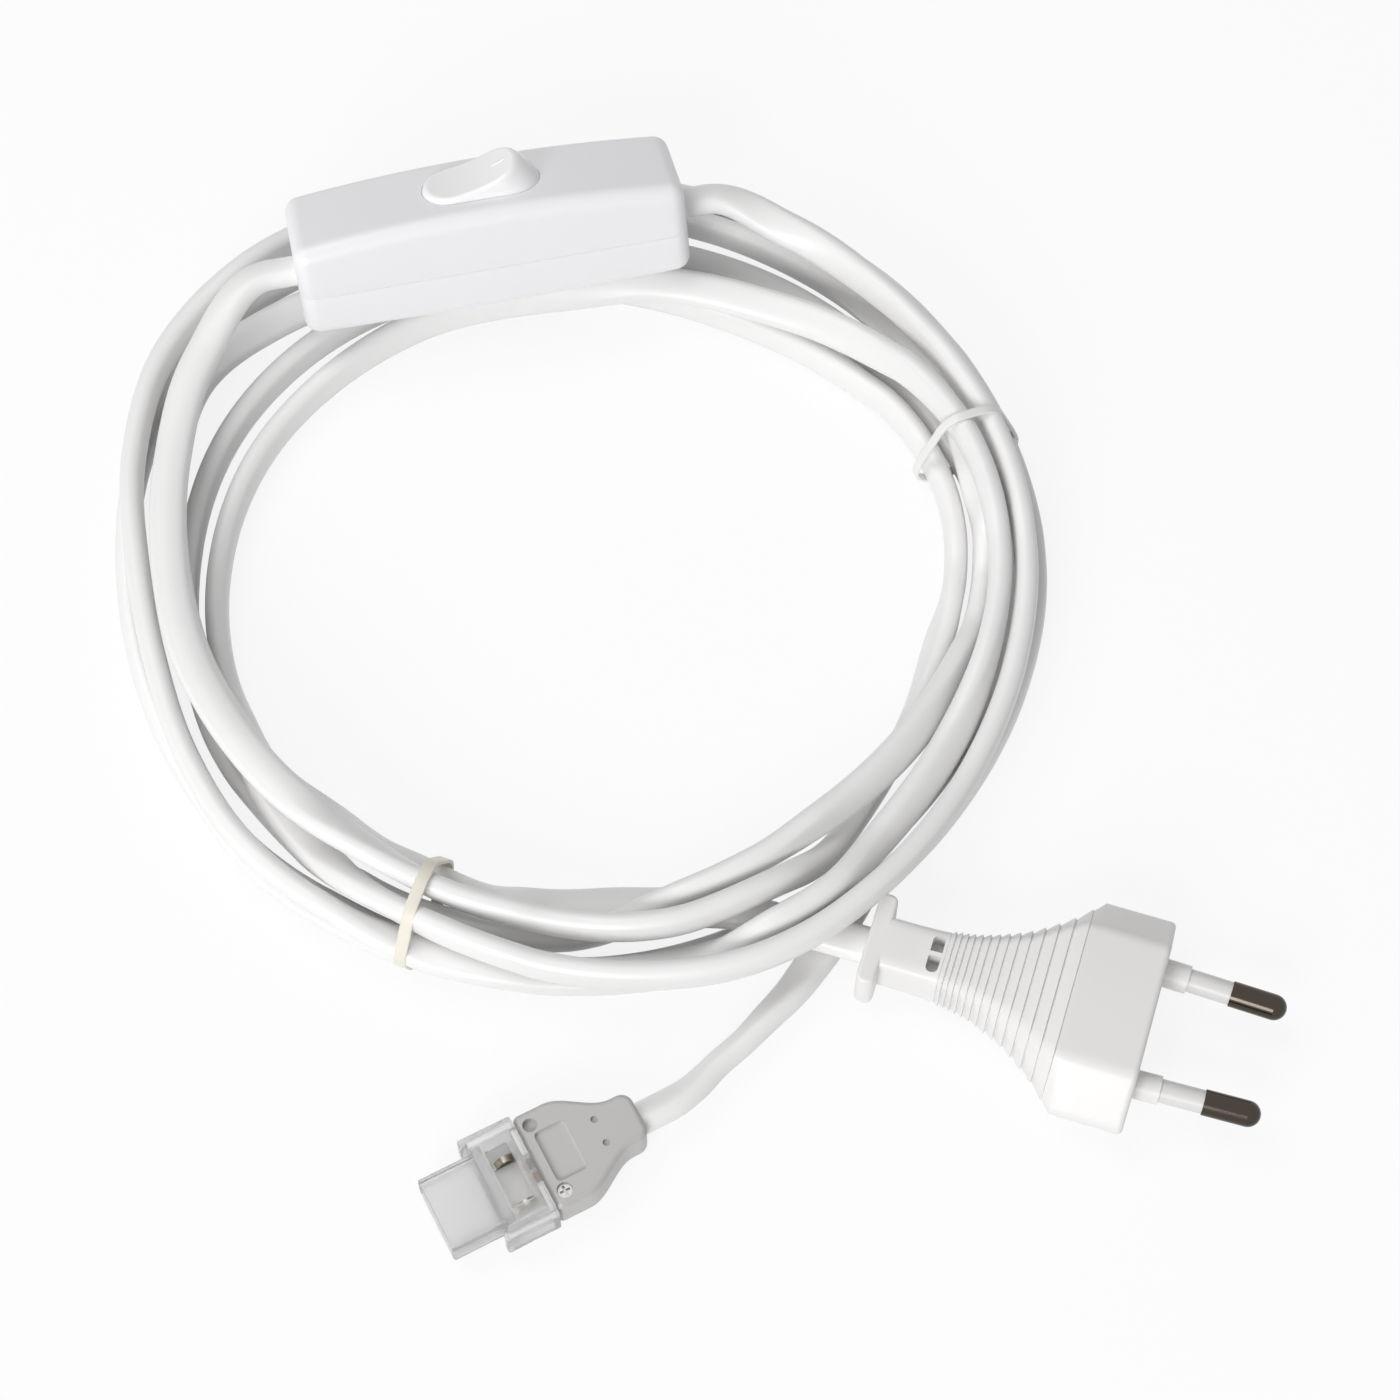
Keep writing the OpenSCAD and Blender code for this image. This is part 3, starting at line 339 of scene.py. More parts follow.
PLUG_TURNS = np.array([
    [164, 58.9, 1.9, 90], [172, 57.2, 1.9, 90], [180, 57, 1.9, 90], [190, 57.2, 2.7, 40],
    [197, 57, 3.8, 10], [203, 56.8, 5.2, 5], [210, 57.2, 6.7, 20], [218, 57.9, 9.4, 50],
    [225, 59.6, 11, 85], [232, 60.2, 11.1, 90], [240, 60.5, 10.7, 90], [255, 62.2, 8.9, 90],
    [270, 64.6, 8.3, 90], [285, 68.6, 7.8, 90], [300, 73.1, 6.4, 85], [315, 71.6, 4, 75],
    [330, 68.6, 1.9, 90], [360, 66.6, 1.9, 90], [375, 66.4, 1.9, 90], [390, 66.4, 1.9, 90],
    [405, 66.5, 1.9, 90], [420, 68, 1.9, 90], [435, 69.4, 1.9, 90], [443, 70.2, 2.4, 50],
    [450, 70.7, 3, 0], [465, 69.2, 3, 0], [480, 67.8, 3, 0], [495, 67.2, 3, 0],
    [501, 68, 3, 10], [508, 68, 2.1, 70], [513, 68.2, 1.9, 90], [525, 68.4, 1.9, 90],
    [540, 68.4, 1.9, 90], [562, 68.2, 1.9, 90], [570, 68.2, 1.9, 90], [585, 69, 2.5, 50],
    [600, 69.4, 3, 0], [630, 72.4, 3, 0], [645, 75.5, 3, 0], [660, 78, 3, 0], [675, 78.5, 3, 0],
    [690, 76, 3, 0], [705, 74.6, 3, 0], [720, 73.8, 3, 0], [735, 73.6, 3, 0], [750, 72.8, 3, 0],
    [762, 72.4, 3.6, 20], [771, 71.8, 6.2, 60], [780, 70.6, 6.8, 70], [795, 68, 6.9, 60],
    [803, 67.2, 6.8, 10], [810, 66.4, 4.8, 0], [818, 65.2, 5.4, 0], [825, 63.9, 7.6, -15],
    [840, 62, 9.6, -40], [855, 60.5, 10.6, -30], [862, 60.2, 11.2, -15], [870, 60.4, 11.2, 0],
    [881, 60.8, 10.4, 0], [888, 61.3, 8.4, 0], [893, 61.9, 5.4, 0], [900, 62.5, 3.4, 0],
    [907, 62.6, 3, 0], [930, 62.5, 3, 0], [937, 62, 2.4, 60], [945, 61.4, 1.9, 90],
    [953, 61.4, 1.9, 90], [962, 62.4, 2.7, 30], [975, 62.6, 3, 0], [990, 62.8, 3, 0],
    [1020, 64.3, 3, 0], [1050, 63, 3, 0], [1080, 58.4, 3, 0], [1110, 57.8, 3, 0],
    [1125, 59.8, 3, 0], [1140, 62.4, 3, 0], [1155, 63.2, 3, 0], [1170, 61.9, 3, 0],
    [1180, 60, 2.9, 30], [1200, 59.9, 3, 0], [1215, 62.1, 3.6, 0], [1222, 63.9, 5.8, 0],
    [1230, 64.9, 10.6, 0], [1234, 65.1, 11.5, 0], [1238, 65.3, 11.8, 0], [1245, 65.6, 11.8, 0],
    [1252, 64.8, 11.4, 0], [1260, 63.2, 10.7, 0], [1275, 61.4, 11, 10], [1290, 60.2, 12.8, 40],
    [1297, 60.5, 14.5, 60], [1305, 60.9, 15.4, 88], [1313, 61.1, 15.4, 90],
    [1320, 61.4, 15, 90], [1335, 62.6, 13.9, 90], [1350, 64.2, 13.4, 90],
    [1365, 67.2, 13.6, 90], [1380, 71, 15, 90], [1388, 71.8, 16.4, 95],
], float)

SWITCH_TURNS = np.array([
    [22, 69.1, 16.9, 85], [30, 70.3, 15.3, 55], [45, 71.1, 13.2, 15], [60, 71.4, 12.8, 0],
    [75, 72.3, 12.2, 0], [90, 72.7, 11.2, 0], [105, 72.6, 10.4, 0], [120, 72.8, 9.8, 0],
    [135, 74, 11.4, 0], [143, 74.8, 12.3, 0], [150, 75.4, 12.4, 0], [160, 75.2, 12.4, 0],
    [170, 73.4, 12.1, 0], [180, 71.2, 11.8, 0], [195, 67.6, 11.4, 0], [203, 66, 10.6, 15],
    [210, 64.9, 9.3, 40], [220, 62.9, 7.4, 75], [232, 60.3, 6.7, 80], [241, 58.2, 5.4, 20],
    [252, 58, 3, 0], [270, 57.8, 3, 0], [300, 57.5, 3.2, 0], [330, 55, 6, 15],
    [360, 53.6, 7.7, 45], [375, 56, 9, 60], [390, 58.4, 9, 65], [405, 62, 10, 50],
    [420, 65.5, 12.1, 15], [435, 67.7, 13.2, 0], [442, 68.1, 13.2, 0], [450, 68.4, 12.6, 0],
    [465, 68, 11.6, -15], [480, 67.6, 9.6, -40], [495, 68.5, 10, -30], [506, 70.7, 12.2, 0],
    [513, 71, 11.9, 0], [519, 70.9, 9.2, 20], [525, 70.8, 6.5, 75], [532, 70.4, 6.2, 90],
    [540, 70, 6.2, 90], [555, 69.8, 6.2, 90], [563, 69.8, 6.8, 50], [570, 69.8, 7.8, 20],
    [585, 69.9, 9.2, 0], [600, 68.6, 9.6, 0], [615, 68, 9.5, 0], [630, 69.9, 9.4, 0],
    [645, 74.7, 9.4, 0], [660, 79.3, 9.4, 0], [675, 80.3, 9.4, 0], [683, 80, 8.6, 0],
    [690, 79.8, 7.4, 0], [705, 79.2, 4, 0], [720, 78.6, 3, 0], [735, 78.2, 3, 0],
    [750, 77.8, 3, 0], [765, 77.2, 3, 0], [780, 76, 3, 0], [795, 75.4, 3, 0], [810, 75, 3, 0],
    [825, 73.6, 3, 0], [840, 72.4, 3, 0], [855, 71.8, 3, 0],
], float)

PLUG_ROUTE = np.array([[2.4, -42.4, 6.4, 90], [-4.6, -40.3, 6.1, 90], [-10.6, -38.9, 3.9, 90]])
CONNECTOR_ROUTE = np.array([
    [14.6, -36.4, 2.9, 25], [10.9, -41.1, 2.3, 66], [8.7, -44.4, 2.3, 72], [6.4, -47.8, 2.4, 66],
    [3.1, -52.5, 2.9, 50], [-0.5, -56.4, 3, 37], [-4, -60.2, 3, 30], [-8.2, -64.1, 3.2, 30],
    [-11.6, -67.8, 3.7, 38],
])
CONNECTOR_TILT = 50
print("rows", len(PLUG_TURNS), len(SWITCH_TURNS))

# %% [markdown]
# The rows are joined by cubic curves that pass through each of them. A limited slope keeps the
# height and the tilt from swinging past a row, which would push a turn into its neighbour. The
# radius takes the plain slope, because there a soft swing is what a real cord does.

# %% Smooth curves through the rows
def slopes(x, y, limited):
    """Slope at each row. Limited slopes are harmonic means, and 0 where the run turns."""
    d = np.diff(y) / np.diff(x)
    m = np.empty_like(y)
    if limited:
        product, total = d[:-1] * d[1:], d[:-1] + d[1:]
        m[1:-1] = np.where(product <= 0, 0, 2 * product / np.where(total == 0, 1, total))
    else:
        h = np.diff(x)
        m[1:-1] = (d[:-1] * h[1:] + d[1:] * h[:-1]) / (h[:-1] + h[1:])
    m[0], m[-1] = d[0], d[-1]
    return m


def smooth_table(x, table, at, limited):
    """Cubic Hermite curve through the rows of a table, column by column."""
    m = np.stack([slopes(x, table[:, c], limited[c]) for c in range(table.shape[1])], 1)
    i = np.clip(np.searchsorted(x, at, side="right") - 1, 0, len(x) - 2)
    h = (x[i + 1] - x[i])[:, None]
    t = (at - x[i])[:, None] / h
    return (
        table[i] * (2 * t**3 - 3 * t**2 + 1) + m[i] * h * (t**3 - 2 * t**2 + t)
        + table[i + 1] * (3 * t**2 - 2 * t**3) + m[i + 1] * h * (t**3 - t**2)
    )


def turns(table, start, end, step=3.0):
    """Points x, y, z, tilt of the coil from one clock angle to another: the radius times the
    sine and cosine of the angle. A turn never sinks into the table top, and is raised by
    a little more than a band's thickness where a tie passes under it."""
    at = np.linspace(start, end, int((end - start) / step) + 1)
    r, z, tilt = smooth_table(table[:, 0], table[:, 1:], at, (False, True, True)).T
    low = CORD_T / 2 + (CORD_W - CORD_T) / 2 * np.abs(np.cos(np.radians(tilt)))
    away = np.min([np.abs((at - t + 180) % 360 - 180) for t in TIES_AT], axis=0)
    z = np.maximum(z, low) + TIE_LIFT * eased((LIFT_STARTS - away) / LIFT_TAKES)
    a = np.radians(at)
    return np.stack([COIL[0] + r * np.sin(a), COIL[1] + r * np.cos(a), z, tilt], 1)


print("height and tilt at 300 degrees", turns(PLUG_TURNS, 300, 303)[0, 2:])

# %% [markdown]
# Each run starts inside the switch, goes straight for a few millimetres, takes its turns, and
# ends straight in the plug or the connector. It is then divided into equal short steps, so that
# the jacket's faces have one size.

# %% The two runs from end to end
def straight_end(origin, direction, tilt, reach=5.0, hidden=0.8):
    """Three points that carry the cord straight out of a piece, from just inside it."""
    out = np.array([-hidden, reach / 2, reach])[:, None] * np.asarray(direction)[None, :]
    return np.concatenate([out + np.asarray(origin), np.full((3, 1), tilt)], 1)


def way_along(points):
    """Distance of each point along the straight steps from the first one."""
    steps = np.linalg.norm(np.diff(points[:, :3], axis=0), axis=1)
    return np.concatenate([[0], np.cumsum(steps)])


def sampled(knots, spacing=1.4):
    """Points evenly spaced along a smooth curve through the knots, and the curve's length."""
    chord = way_along(knots)
    close = np.linspace(0, chord[-1], int(chord[-1] * 4))
    dense = smooth_table(chord, knots, close, (False, False, True, True))
    run = way_along(dense)
    even = np.linspace(0, run[-1], int(run[-1] / spacing) + 1)
    return np.stack([np.interp(even, run, dense[:, c]) for c in range(4)], 1), run[-1]


SW_L, SEAM = 65.0, -1.4
switch_out = turned(np.array([1.0, 0, 0]), yaw=SWITCH_YAW)
left_port = at_switch(np.array([-SW_L / 2, 0, SEAM]))
right_port = at_switch(np.array([SW_L / 2, 0, SEAM]))
plug_out = turned(np.array([-1.0, 0, 0]), yaw=PLUG_YAW)
connector_out = turned(np.array([-1.0, 0, 0]), yaw=CONNECTOR_YAW)
plug_port = at_plug(np.array([0.0, 0, 0]))
connector_port = at_connector(np.array([0.0, 0, 0]))

plug_side, plug_side_mm = sampled(np.concatenate([
    straight_end(left_port, -switch_out, 90 + SWITCH_LEAN),
    turns(PLUG_TURNS, 164, 1381)[::-1],
    PLUG_ROUTE[::-1],
    straight_end(plug_port, plug_out, 90)[::-1],
]))
connector_side, connector_side_mm = sampled(np.concatenate([
    straight_end(right_port, switch_out, 90 + SWITCH_LEAN),
    turns(SWITCH_TURNS, 30, 855),
    CONNECTOR_ROUTE,
    straight_end(connector_port, connector_out, CONNECTOR_TILT)[::-1],
]))
print("plug side %.0f mm, connector side %.0f mm" % (plug_side_mm, connector_side_mm))

# %% [markdown]
# ## The flat twin cord: its jacket
# A flat oval is carried along each run. The oval's wide axis is turned by the tilt about the
# run's own direction, so the cord twists softly from lying flat to standing on its edge. Its
# UV map runs round the cord and along it, for a pattern that should follow the cord. The sides
# of the oval bulge a little, as the jacket does over its two cores.

# %% The jacket as a tube
SIDE_BULGE, UV_PER_MM = 1.7, 0.01


def oval(points=30):
    """Flat oval of the cord's width and thickness: two half circles joined by straight sides
    that bulge a little, as points evenly spaced by angle."""
    a = (np.arange(points) + 0.5) * 2 * math.pi / points
    reach = (CORD_W - CORD_T) / 2
    wide = CORD_T / 2 * np.cos(a) + reach * np.clip(SIDE_BULGE * np.cos(a), -1, 1)
    return wide, CORD_T / 2 * np.sin(a)


def jacket(name, run, backwards):
    """Tube of ovals along a run. Backwards tells that the run goes against the direction in
    which its tilts were measured, so that the sides are taken from the other direction."""
    centre = run[:, :3]
    along = np.gradient(centre, axis=0)
    along /= np.linalg.norm(along, axis=1, keepdims=True)
    ahead = -along if backwards else along
    side = np.cross([0, 0, 1.0], ahead)
    side /= np.linalg.norm(side, axis=1, keepdims=True)
    up = np.cross(ahead, side)
    tilt = np.radians(run[:, 3])[:, None]
    wide_axis = np.sin(tilt) * side + np.cos(tilt) * up
    thin_axis = np.cos(tilt) * side - np.sin(tilt) * up
    w, t = oval()
    across = w[:, None] * wide_axis[:, None] + t[:, None] * thin_axis[:, None]
    made = piece(name, skin(centre[:, None] + across), crease=60)
    uv = made.data.uv_layers.new(name="along_cord")
    corner = np.empty(len(made.data.loops), np.int32)
    made.data.loops.foreach_get("vertex_index", corner)
    place = np.minimum(corner, len(run) * len(w) - 1)
    step = np.linalg.norm(centre[1] - centre[0])
    pair = np.stack([(place % len(w)) / len(w), (place // len(w)) * step * UV_PER_MM], 1)
    uv.data.foreach_set("uv", pair.astype(np.float32).ravel())
    return made


cord_to_plug = jacket("cord_to_plug", plug_side, True)
cord_to_connector = jacket("cord_to_connector", connector_side, False)
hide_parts("coil_plug_side", "lead_plug")
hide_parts("coil_switch_side", "lead_connector")
for made in (cord_to_plug, cord_to_connector):
    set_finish(made, "cord_jacket")
    print(made.name, len(made.data.polygons), "faces")

# %% [markdown]
# ## The plug's body
# The body is one soft-looking moulding: a narrow upright neck that flares into a wide head
# with sloping sides. It could be a box that is cut and bevelled, but the flare has no flat
# face to start from. So it is a row of sections, and each is an eight-cornered loop with
# rounded corners, whose width and height are functions of the distance from the cord.

# %% Sections of the body
HEAD_X, PLUG_LEN = 33.0, 44.0
HEAD_W, HEAD_H = 35.3, 13.7
NECK_W, NECK_H = 8.8, 8.6
FACE_ROUND, CORNER_ROUND = 0.8, 1.3
FLARE_X, RISE_X = 4.0, 6.0
RIBS, RIB_X0, RIB_X1, RIB_GROWTH = 14, 12.0, 31.5, 1.08
RIB_H, RIB_VALLEY, RIB_STEP = 0.35, 0.22, 0.18
TOP_FLATS = [[0, 3.4], [11, 3.4], [16, 4], [19, 5], [24, 6.6], [28, 9.2], [31, 10.9], [44, 10.8]]
SIDE_BANDS = [[0, 3.4], [12, 3.5], [20, 3.6], [26, 3], [30, 1.6], [33, 0.5], [44, 0.5]]

growth = (RIB_GROWTH ** np.arange(RIBS + 1) - 1) / (RIB_GROWTH**RIBS - 1)
rib_edge = RIB_X0 + (RIB_X1 - RIB_X0) * growth


def half_width(x):
    """Half width of the body: level at the neck, then the third power of the way to the head."""
    share = np.clip((x - FLARE_X) / (HEAD_X - FLARE_X), 0, 1)
    return NECK_W / 2 + (HEAD_W - NECK_W) / 2 * share**3


def half_height(x):
    """Half height of the body: a smooth step from the neck to the head."""
    return NECK_H / 2 + (HEAD_H - NECK_H) / 2 * eased((x - RISE_X) / (HEAD_X - RISE_X))


def body_sections(x, more, trim):
    """Eight corners of the section at each x, made larger by more and smaller by trim. The flat
    on top and the upright band at the side are read from short tables."""
    flat = np.interp(x, *np.transpose(TOP_FLATS))
    band = np.interp(x, *np.transpose(SIDE_BANDS))
    w, h = half_width(x) + more - trim, half_height(x) + 0.8 * more - trim
    flat = np.minimum(flat + 0.3 * more - 0.4 * trim, w - 0.5)
    corners = [
        [w, band], [flat, h], [-flat, h], [-w, band],
        [-w, -band], [-flat, -h], [flat, -h], [w, -band],
    ]
    return np.stack([np.stack([a + 0 * x, b + 0 * x], -1) for a, b in corners], 1)


print("the body is", 2 * half_width(PLUG_LEN), "wide and", 2 * half_height(PLUG_LEN), "high")

# %% [markdown]
# A saw tooth per grip rib is added to the size of the section, with two rows close together at
# each step to keep it crisp. A separate ring per rib would leave seams along the soft sides.
# The face has a shallow rectangular pocket, in which the carrier of the pins shows, and a
# flange closes the neck where the cord comes out.

# %% Skin of the body
plain = np.linspace(0.4, RIB_X0 - 0.1, 12)
ribbed_x = np.stack([
    rib_edge[:-1], (rib_edge[:-1] + rib_edge[1:]) / 2, rib_edge[1:] - RIB_STEP,
], 1).ravel()
ribbed_more = np.tile([-RIB_VALLEY, 0.5 * RIB_H, RIB_H], RIBS)
head = np.array([RIB_X1, 32.2, HEAD_X, 36, 40, 43])
edge_x = PLUG_LEN - FACE_ROUND * (1 - np.sin(quarter(6)))
edge_trim = FACE_ROUND * (1 - np.cos(quarter(6)))
x_rows = np.concatenate([plain, ribbed_x, head, edge_x, [PLUG_LEN]])
more_rows = np.concatenate([0 * plain, ribbed_more, 0 * head, 0 * edge_x, [0]])
trim_rows = np.concatenate([0 * plain, 0 * ribbed_x, 0 * head, edge_trim, [FACE_ROUND + 0.1]])
loops = rounded(body_sections(x_rows, more_rows, trim_rows), CORNER_ROUND, 5)
body_x = np.broadcast_to(x_rows[:, None, None], loops.shape[:2] + (1,))
body_rows = np.concatenate([body_x, loops], -1)
print("body rows", len(body_rows), "of", body_rows.shape[1], "points")

# %% Pocket and flange
POCKET_W, POCKET_H, POCKET_X = 11.82, 4.02, 42.0
pocket_angle = np.arctan2(loops[-1][:, 1] / POCKET_H, loops[-1][:, 0] / POCKET_W)
ray = np.stack([np.cos(pocket_angle), np.sin(pocket_angle)], 1)
pocket = ray * [POCKET_W, POCKET_H] / np.abs(ray).max(1, keepdims=True)
front = [np.column_stack([np.full(len(pocket), x), pocket]) for x in (PLUG_LEN, POCKET_X)]
body_rows = np.concatenate([body_rows, np.stack(front)])

FLANGE_T, FLANGE_W, FLANGE_H, FLANGE_ROUND = 2.9, 15.0, 8.6, 0.5
flange_plan = rectangle(0, FLANGE_T, -FLANGE_W / 2, FLANGE_W / 2, FLANGE_T / 2, 10)
flange = block(flange_plan, -FLANGE_H / 2, FLANGE_H / 2, FLANGE_ROUND, FLANGE_ROUND)

plug_shell = piece("plug_moulding", skin(body_rows), at_plug, crease=28)
print("plug", len(plug_shell.data.polygons), "faces,", RIBS, "ribs")

# %% [markdown]
# A window through the neck lets the grip bend. It is two short slots with a bar between them,
# cut out of the closed body by a boolean, because a slot in a grid would need far more rows.

# %% Cut the strain-relief window
SLOT_X, SLOT_DEPTH, SLOT_HALF, SLOT_REACH = 10.5, 3.2, 0.95, 3.0
BAR_HALF, BAR_ROUND = 0.35, 0.1
neck_top = half_height(SLOT_X)
slots = []
for side in (1, -1):
    outline = rounded(
        [[-SLOT_HALF, BAR_HALF], [SLOT_HALF, BAR_HALF],
         [SLOT_HALF, SLOT_REACH], [-SLOT_HALF, SLOT_REACH]],
        np.array([[BAR_ROUND], [BAR_ROUND], [SLOT_HALF], [SLOT_HALF]]), 8,
    )
    outline = outline[::side] * [1, side] + [SLOT_X, 0]
    slots.append(block(outline, neck_top - SLOT_DEPTH, neck_top + 2))
worked(plug_shell, placed(slots, at_plug))
worked(plug_shell, placed([flange], at_plug), "UNION", crease=28)
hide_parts("plug_body")
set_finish(plug_shell, "white_shell")
print("plug with window", len(plug_shell.data.polygons), "faces")

# %% [markdown]
# ## The switch housing
# Two shells meet at a seam a little below the middle. Both are drawn as loops that start at
# an inner outline and grow to the housing's outline, then turn over a rounded edge and run
# down the wall. All loops of the housing have the same number of points and look the same way
# from the middle, so that any two of them can be joined by quads.

# %% Outlines of the housing
SW_D, SW_TOP, SW_CROWN, SW_BOW, SW_ROUND, SW_WALL = 19.4, 9.3, 2.0, 0.5, 2.6, 1.6
ROCK_L, ROCK_W = 21.0, 10.6
ROCK_GAP = 0.14
TOP_L, TOP_W = 9.85, 5.12 + ROCK_GAP
OPEN_L, OPEN_W = 10.2 + ROCK_GAP, 5.26 + ROCK_GAP


def housing_loop():
    """Counter-clockwise line through the centres of the housing's corners, and its outward
    normals. The normals turn through a quarter circle at each corner, and the sides are divided
    evenly, so that the line plus a radius times the normals is an outline of the housing."""
    l, d = SW_L / 2 - SW_ROUND, SW_D / 2 - SW_ROUND
    centres = np.array([[l, d], [-l, d], [-l, -d], [l, -d]])
    parts, normals = [], []
    for k, count in enumerate((36, 8, 36, 8)):
        a = quarter(9) + k * math.pi / 2
        n = np.stack([np.cos(a), np.sin(a)], 1)
        parts.append(centres[k] + 0 * n)
        normals.append(n)
        t = (np.arange(1, count) / count)[:, None]
        parts.append(centres[k] * (1 - t) + centres[(k + 1) % 4] * t)
        normals.append(np.broadcast_to(n[-1], (count - 1, 2)))
    return np.concatenate(parts), np.concatenate(normals)


spine, normal = housing_loop()


def to_stadium(d, l, w):
    """Points d moved along their own rays to a stadium of half length l and half width w: to a
    straight side where the ray meets one, or else to the circle of radius w about an end."""
    flat = w / np.maximum(np.abs(d[:, 1]), 1e-9)
    c = l - w
    a, b, e = (d**2).sum(1), -2 * c * np.abs(d[:, 0]), c * c - w * w
    round_end = (-b + np.sqrt(np.maximum(b * b - 4 * a * e, 0))) / (2 * a)
    return d * np.where(np.abs(d[:, 0]) * flat <= c, flat, round_end)[:, None]


def stadium(l, w, like):
    """Points of a stadium of half length l and half width w in the same directions as the
    points of another outline, both squashed to a unit square first."""
    return to_stadium(like / [SW_L / 2, SW_D / 2] * [l, w], l, w)


outer_edge = spine + SW_ROUND * normal
opening = stadium(OPEN_L, OPEN_W, outer_edge)


def top_at(x):
    """Height of the crowned top at x."""
    return SW_TOP - SW_CROWN * (x / (SW_L / 2)) ** 2


def floor_at(x):
    """Height of the slightly bowed underside at x."""
    return -SW_TOP + SW_BOW * (x / (SW_L / 2)) ** 2


def level(loop, z):
    """A loop in plan with a height, or one height per point."""
    return np.column_stack([loop, np.broadcast_to(z, len(loop))])


print("housing outline", len(spine), "points")

# %% [markdown]
# The cover starts at the inner side of the rocker's opening, comes up over its rim, crosses the
# crowned top, turns down the wall to the seam and goes back inside. It is one closed loop of
# rows, so its wall has two sides everywhere and no Solidify modifier has to guess the corners.
# Lugs for the axle and posts for the screws are blocks that reach into the wall.

# %% The cover
RIM, SEAM_GAP = 0.2, 0.02
rows = [level(opening, top_at(opening[:, 0]) - SW_WALL)]
for a in quarter(4):
    back = RIM * (1 - math.cos(a))
    rim = stadium(TOP_L + back, TOP_W + back, outer_edge)
    rows.append(level(rim, top_at(rim[:, 0]) - RIM * (1 - math.sin(a))))
rim = stadium(TOP_L + RIM + 0.05, TOP_W + RIM + 0.05, outer_edge)
for t in np.concatenate([[0.0], np.linspace(0.08, 1, 13)]):
    flat = rim * (1 - t) + spine * t
    rows.append(level(flat, top_at(flat[:, 0])))
for a in quarter(9)[1:]:
    flat = spine + SW_ROUND * math.sin(a) * normal
    rows.append(level(flat, top_at(spine[:, 0]) - SW_ROUND * (1 - math.cos(a))))
lowest = SEAM + SEAM_GAP
for z, back in ((0.6, 0.0), (lowest + 0.1, 0.0), (lowest + 0.03, 0.02), (lowest, 0.07)):
    rows.append(level(outer_edge - back * normal, z))
inner_edge = spine + (SW_ROUND - SW_WALL) * normal
rows.append(level(inner_edge, lowest))
rows.append(level(inner_edge, top_at(spine[:, 0]) - SW_ROUND))
for t in (1.0, 0.66, 0.33):
    flat = opening * (1 - t) + spine * t
    rows.append(level(flat, top_at(flat[:, 0]) - SW_WALL))
cover_shell = skin(np.stack(rows), wrap_rows=True)
print("cover's shell", len(cover_shell[1]), "faces")

# %% Lugs and posts inside the cover
AXLE_Z, AXLE_D = 5.3, 2.0
LUG_HALF, LUG_GAP, LUG_INTO_WALL, LUG_CUT = 2.2, 0.3, 0.8, 0.2
POST_X, COVER_POST_R, BASE_POST_R = 19.4, 2.3, 2.8
inside = []
for side in (1, -1):
    y0, y1 = sorted((side * (ROCK_W / 2 + LUG_GAP), side * (SW_D / 2 - LUG_INTO_WALL)))
    lug = rectangle(-LUG_HALF, LUG_HALF, y0, y1, LUG_CUT, 2)
    inside.append(block(lug, AXLE_Z - LUG_HALF, SW_TOP - 1.2))
    inside.append(block(circle(side * POST_X, 0, COVER_POST_R), SEAM + 0.3, SW_TOP - SW_WALL))
switch_cover = piece("switch_cover_shell", joined(cover_shell, *inside), at_switch)
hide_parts("switch_cover")
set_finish(switch_cover, "white_shell")
print("cover", len(switch_cover.data.polygons), "faces")

# %% [markdown]
# The base is the same kind of shell, lower side first. It starts from a line along the middle
# of the underside, because the housing is long, and a fan to one point would shade badly. Posts
# and cord saddles stand inside, and each housing screw has a hole with a wider well for its
# head, cut from below.

# %% The base
def towards_spine(t):
    """The housing's line shrunk to a line along its middle, at t = 0, or at full size at 1."""
    return spine * [0.9 + 0.1 * t, t]


rows = []
for t in (0.0, 0.25, 0.6, 0.9, 1.0):
    flat = towards_spine(t)
    rows.append(level(flat, floor_at(flat[:, 0])))
for a in quarter(9)[1:]:
    flat = spine + SW_ROUND * math.sin(a) * normal
    rows.append(level(flat, floor_at(spine[:, 0]) + SW_ROUND * (1 - math.cos(a))))
for z, back in ((SEAM - 0.1, 0.0), (SEAM - 0.03, 0.02), (SEAM, 0.07)):
    rows.append(level(outer_edge - back * normal, z))
rows.append(level(inner_edge, SEAM))
rows.append(level(inner_edge, floor_at(spine[:, 0]) + SW_ROUND))
for t in (1.0, 0.5, 0.0):
    flat = towards_spine(t)
    rows.append(level(flat, floor_at(flat[:, 0]) + SW_WALL))
base_shell = skin(np.stack(rows), ends=(False, False))
print("base's shell", len(base_shell[1]), "faces")

# %% Posts, saddles and screw holes of the base
INSIDE_Z, BELOW_Z = -SW_TOP + 1.3, -SW_TOP - 1
SADDLE_X, SADDLE_HALF, SADDLE_TOP = (25.95, 28.55), 6, SEAM - CORD_T / 2
HEAD_WELL_R, HEAD_WELL_TOP, SHANK_HOLE_R = 1.9, -SW_TOP + 1.6, 1.05
posts, saddles, wells = [], [], []
for side in (1, -1):
    posts.append(block(circle(side * POST_X, 0, BASE_POST_R), INSIDE_Z, SEAM))
    x0, x1 = sorted((side * SADDLE_X[0], side * SADDLE_X[1]))
    saddle = rectangle(x0, x1, -SADDLE_HALF, SADDLE_HALF, 0.2, 2)
    saddles.append(block(saddle, INSIDE_Z, SADDLE_TOP))
    wells.append(block(circle(side * POST_X, 0, HEAD_WELL_R), BELOW_Z, HEAD_WELL_TOP))
    wells.append(block(circle(side * POST_X, 0, SHANK_HOLE_R), BELOW_Z, SEAM + 1))
switch_base = piece("switch_base_shell", joined(base_shell, *posts, *saddles), at_switch)
worked(switch_base, placed(wells, at_switch))
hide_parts("switch_base")
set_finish(switch_base, "white_shell")
print("base", len(switch_base.data.polygons), "faces")

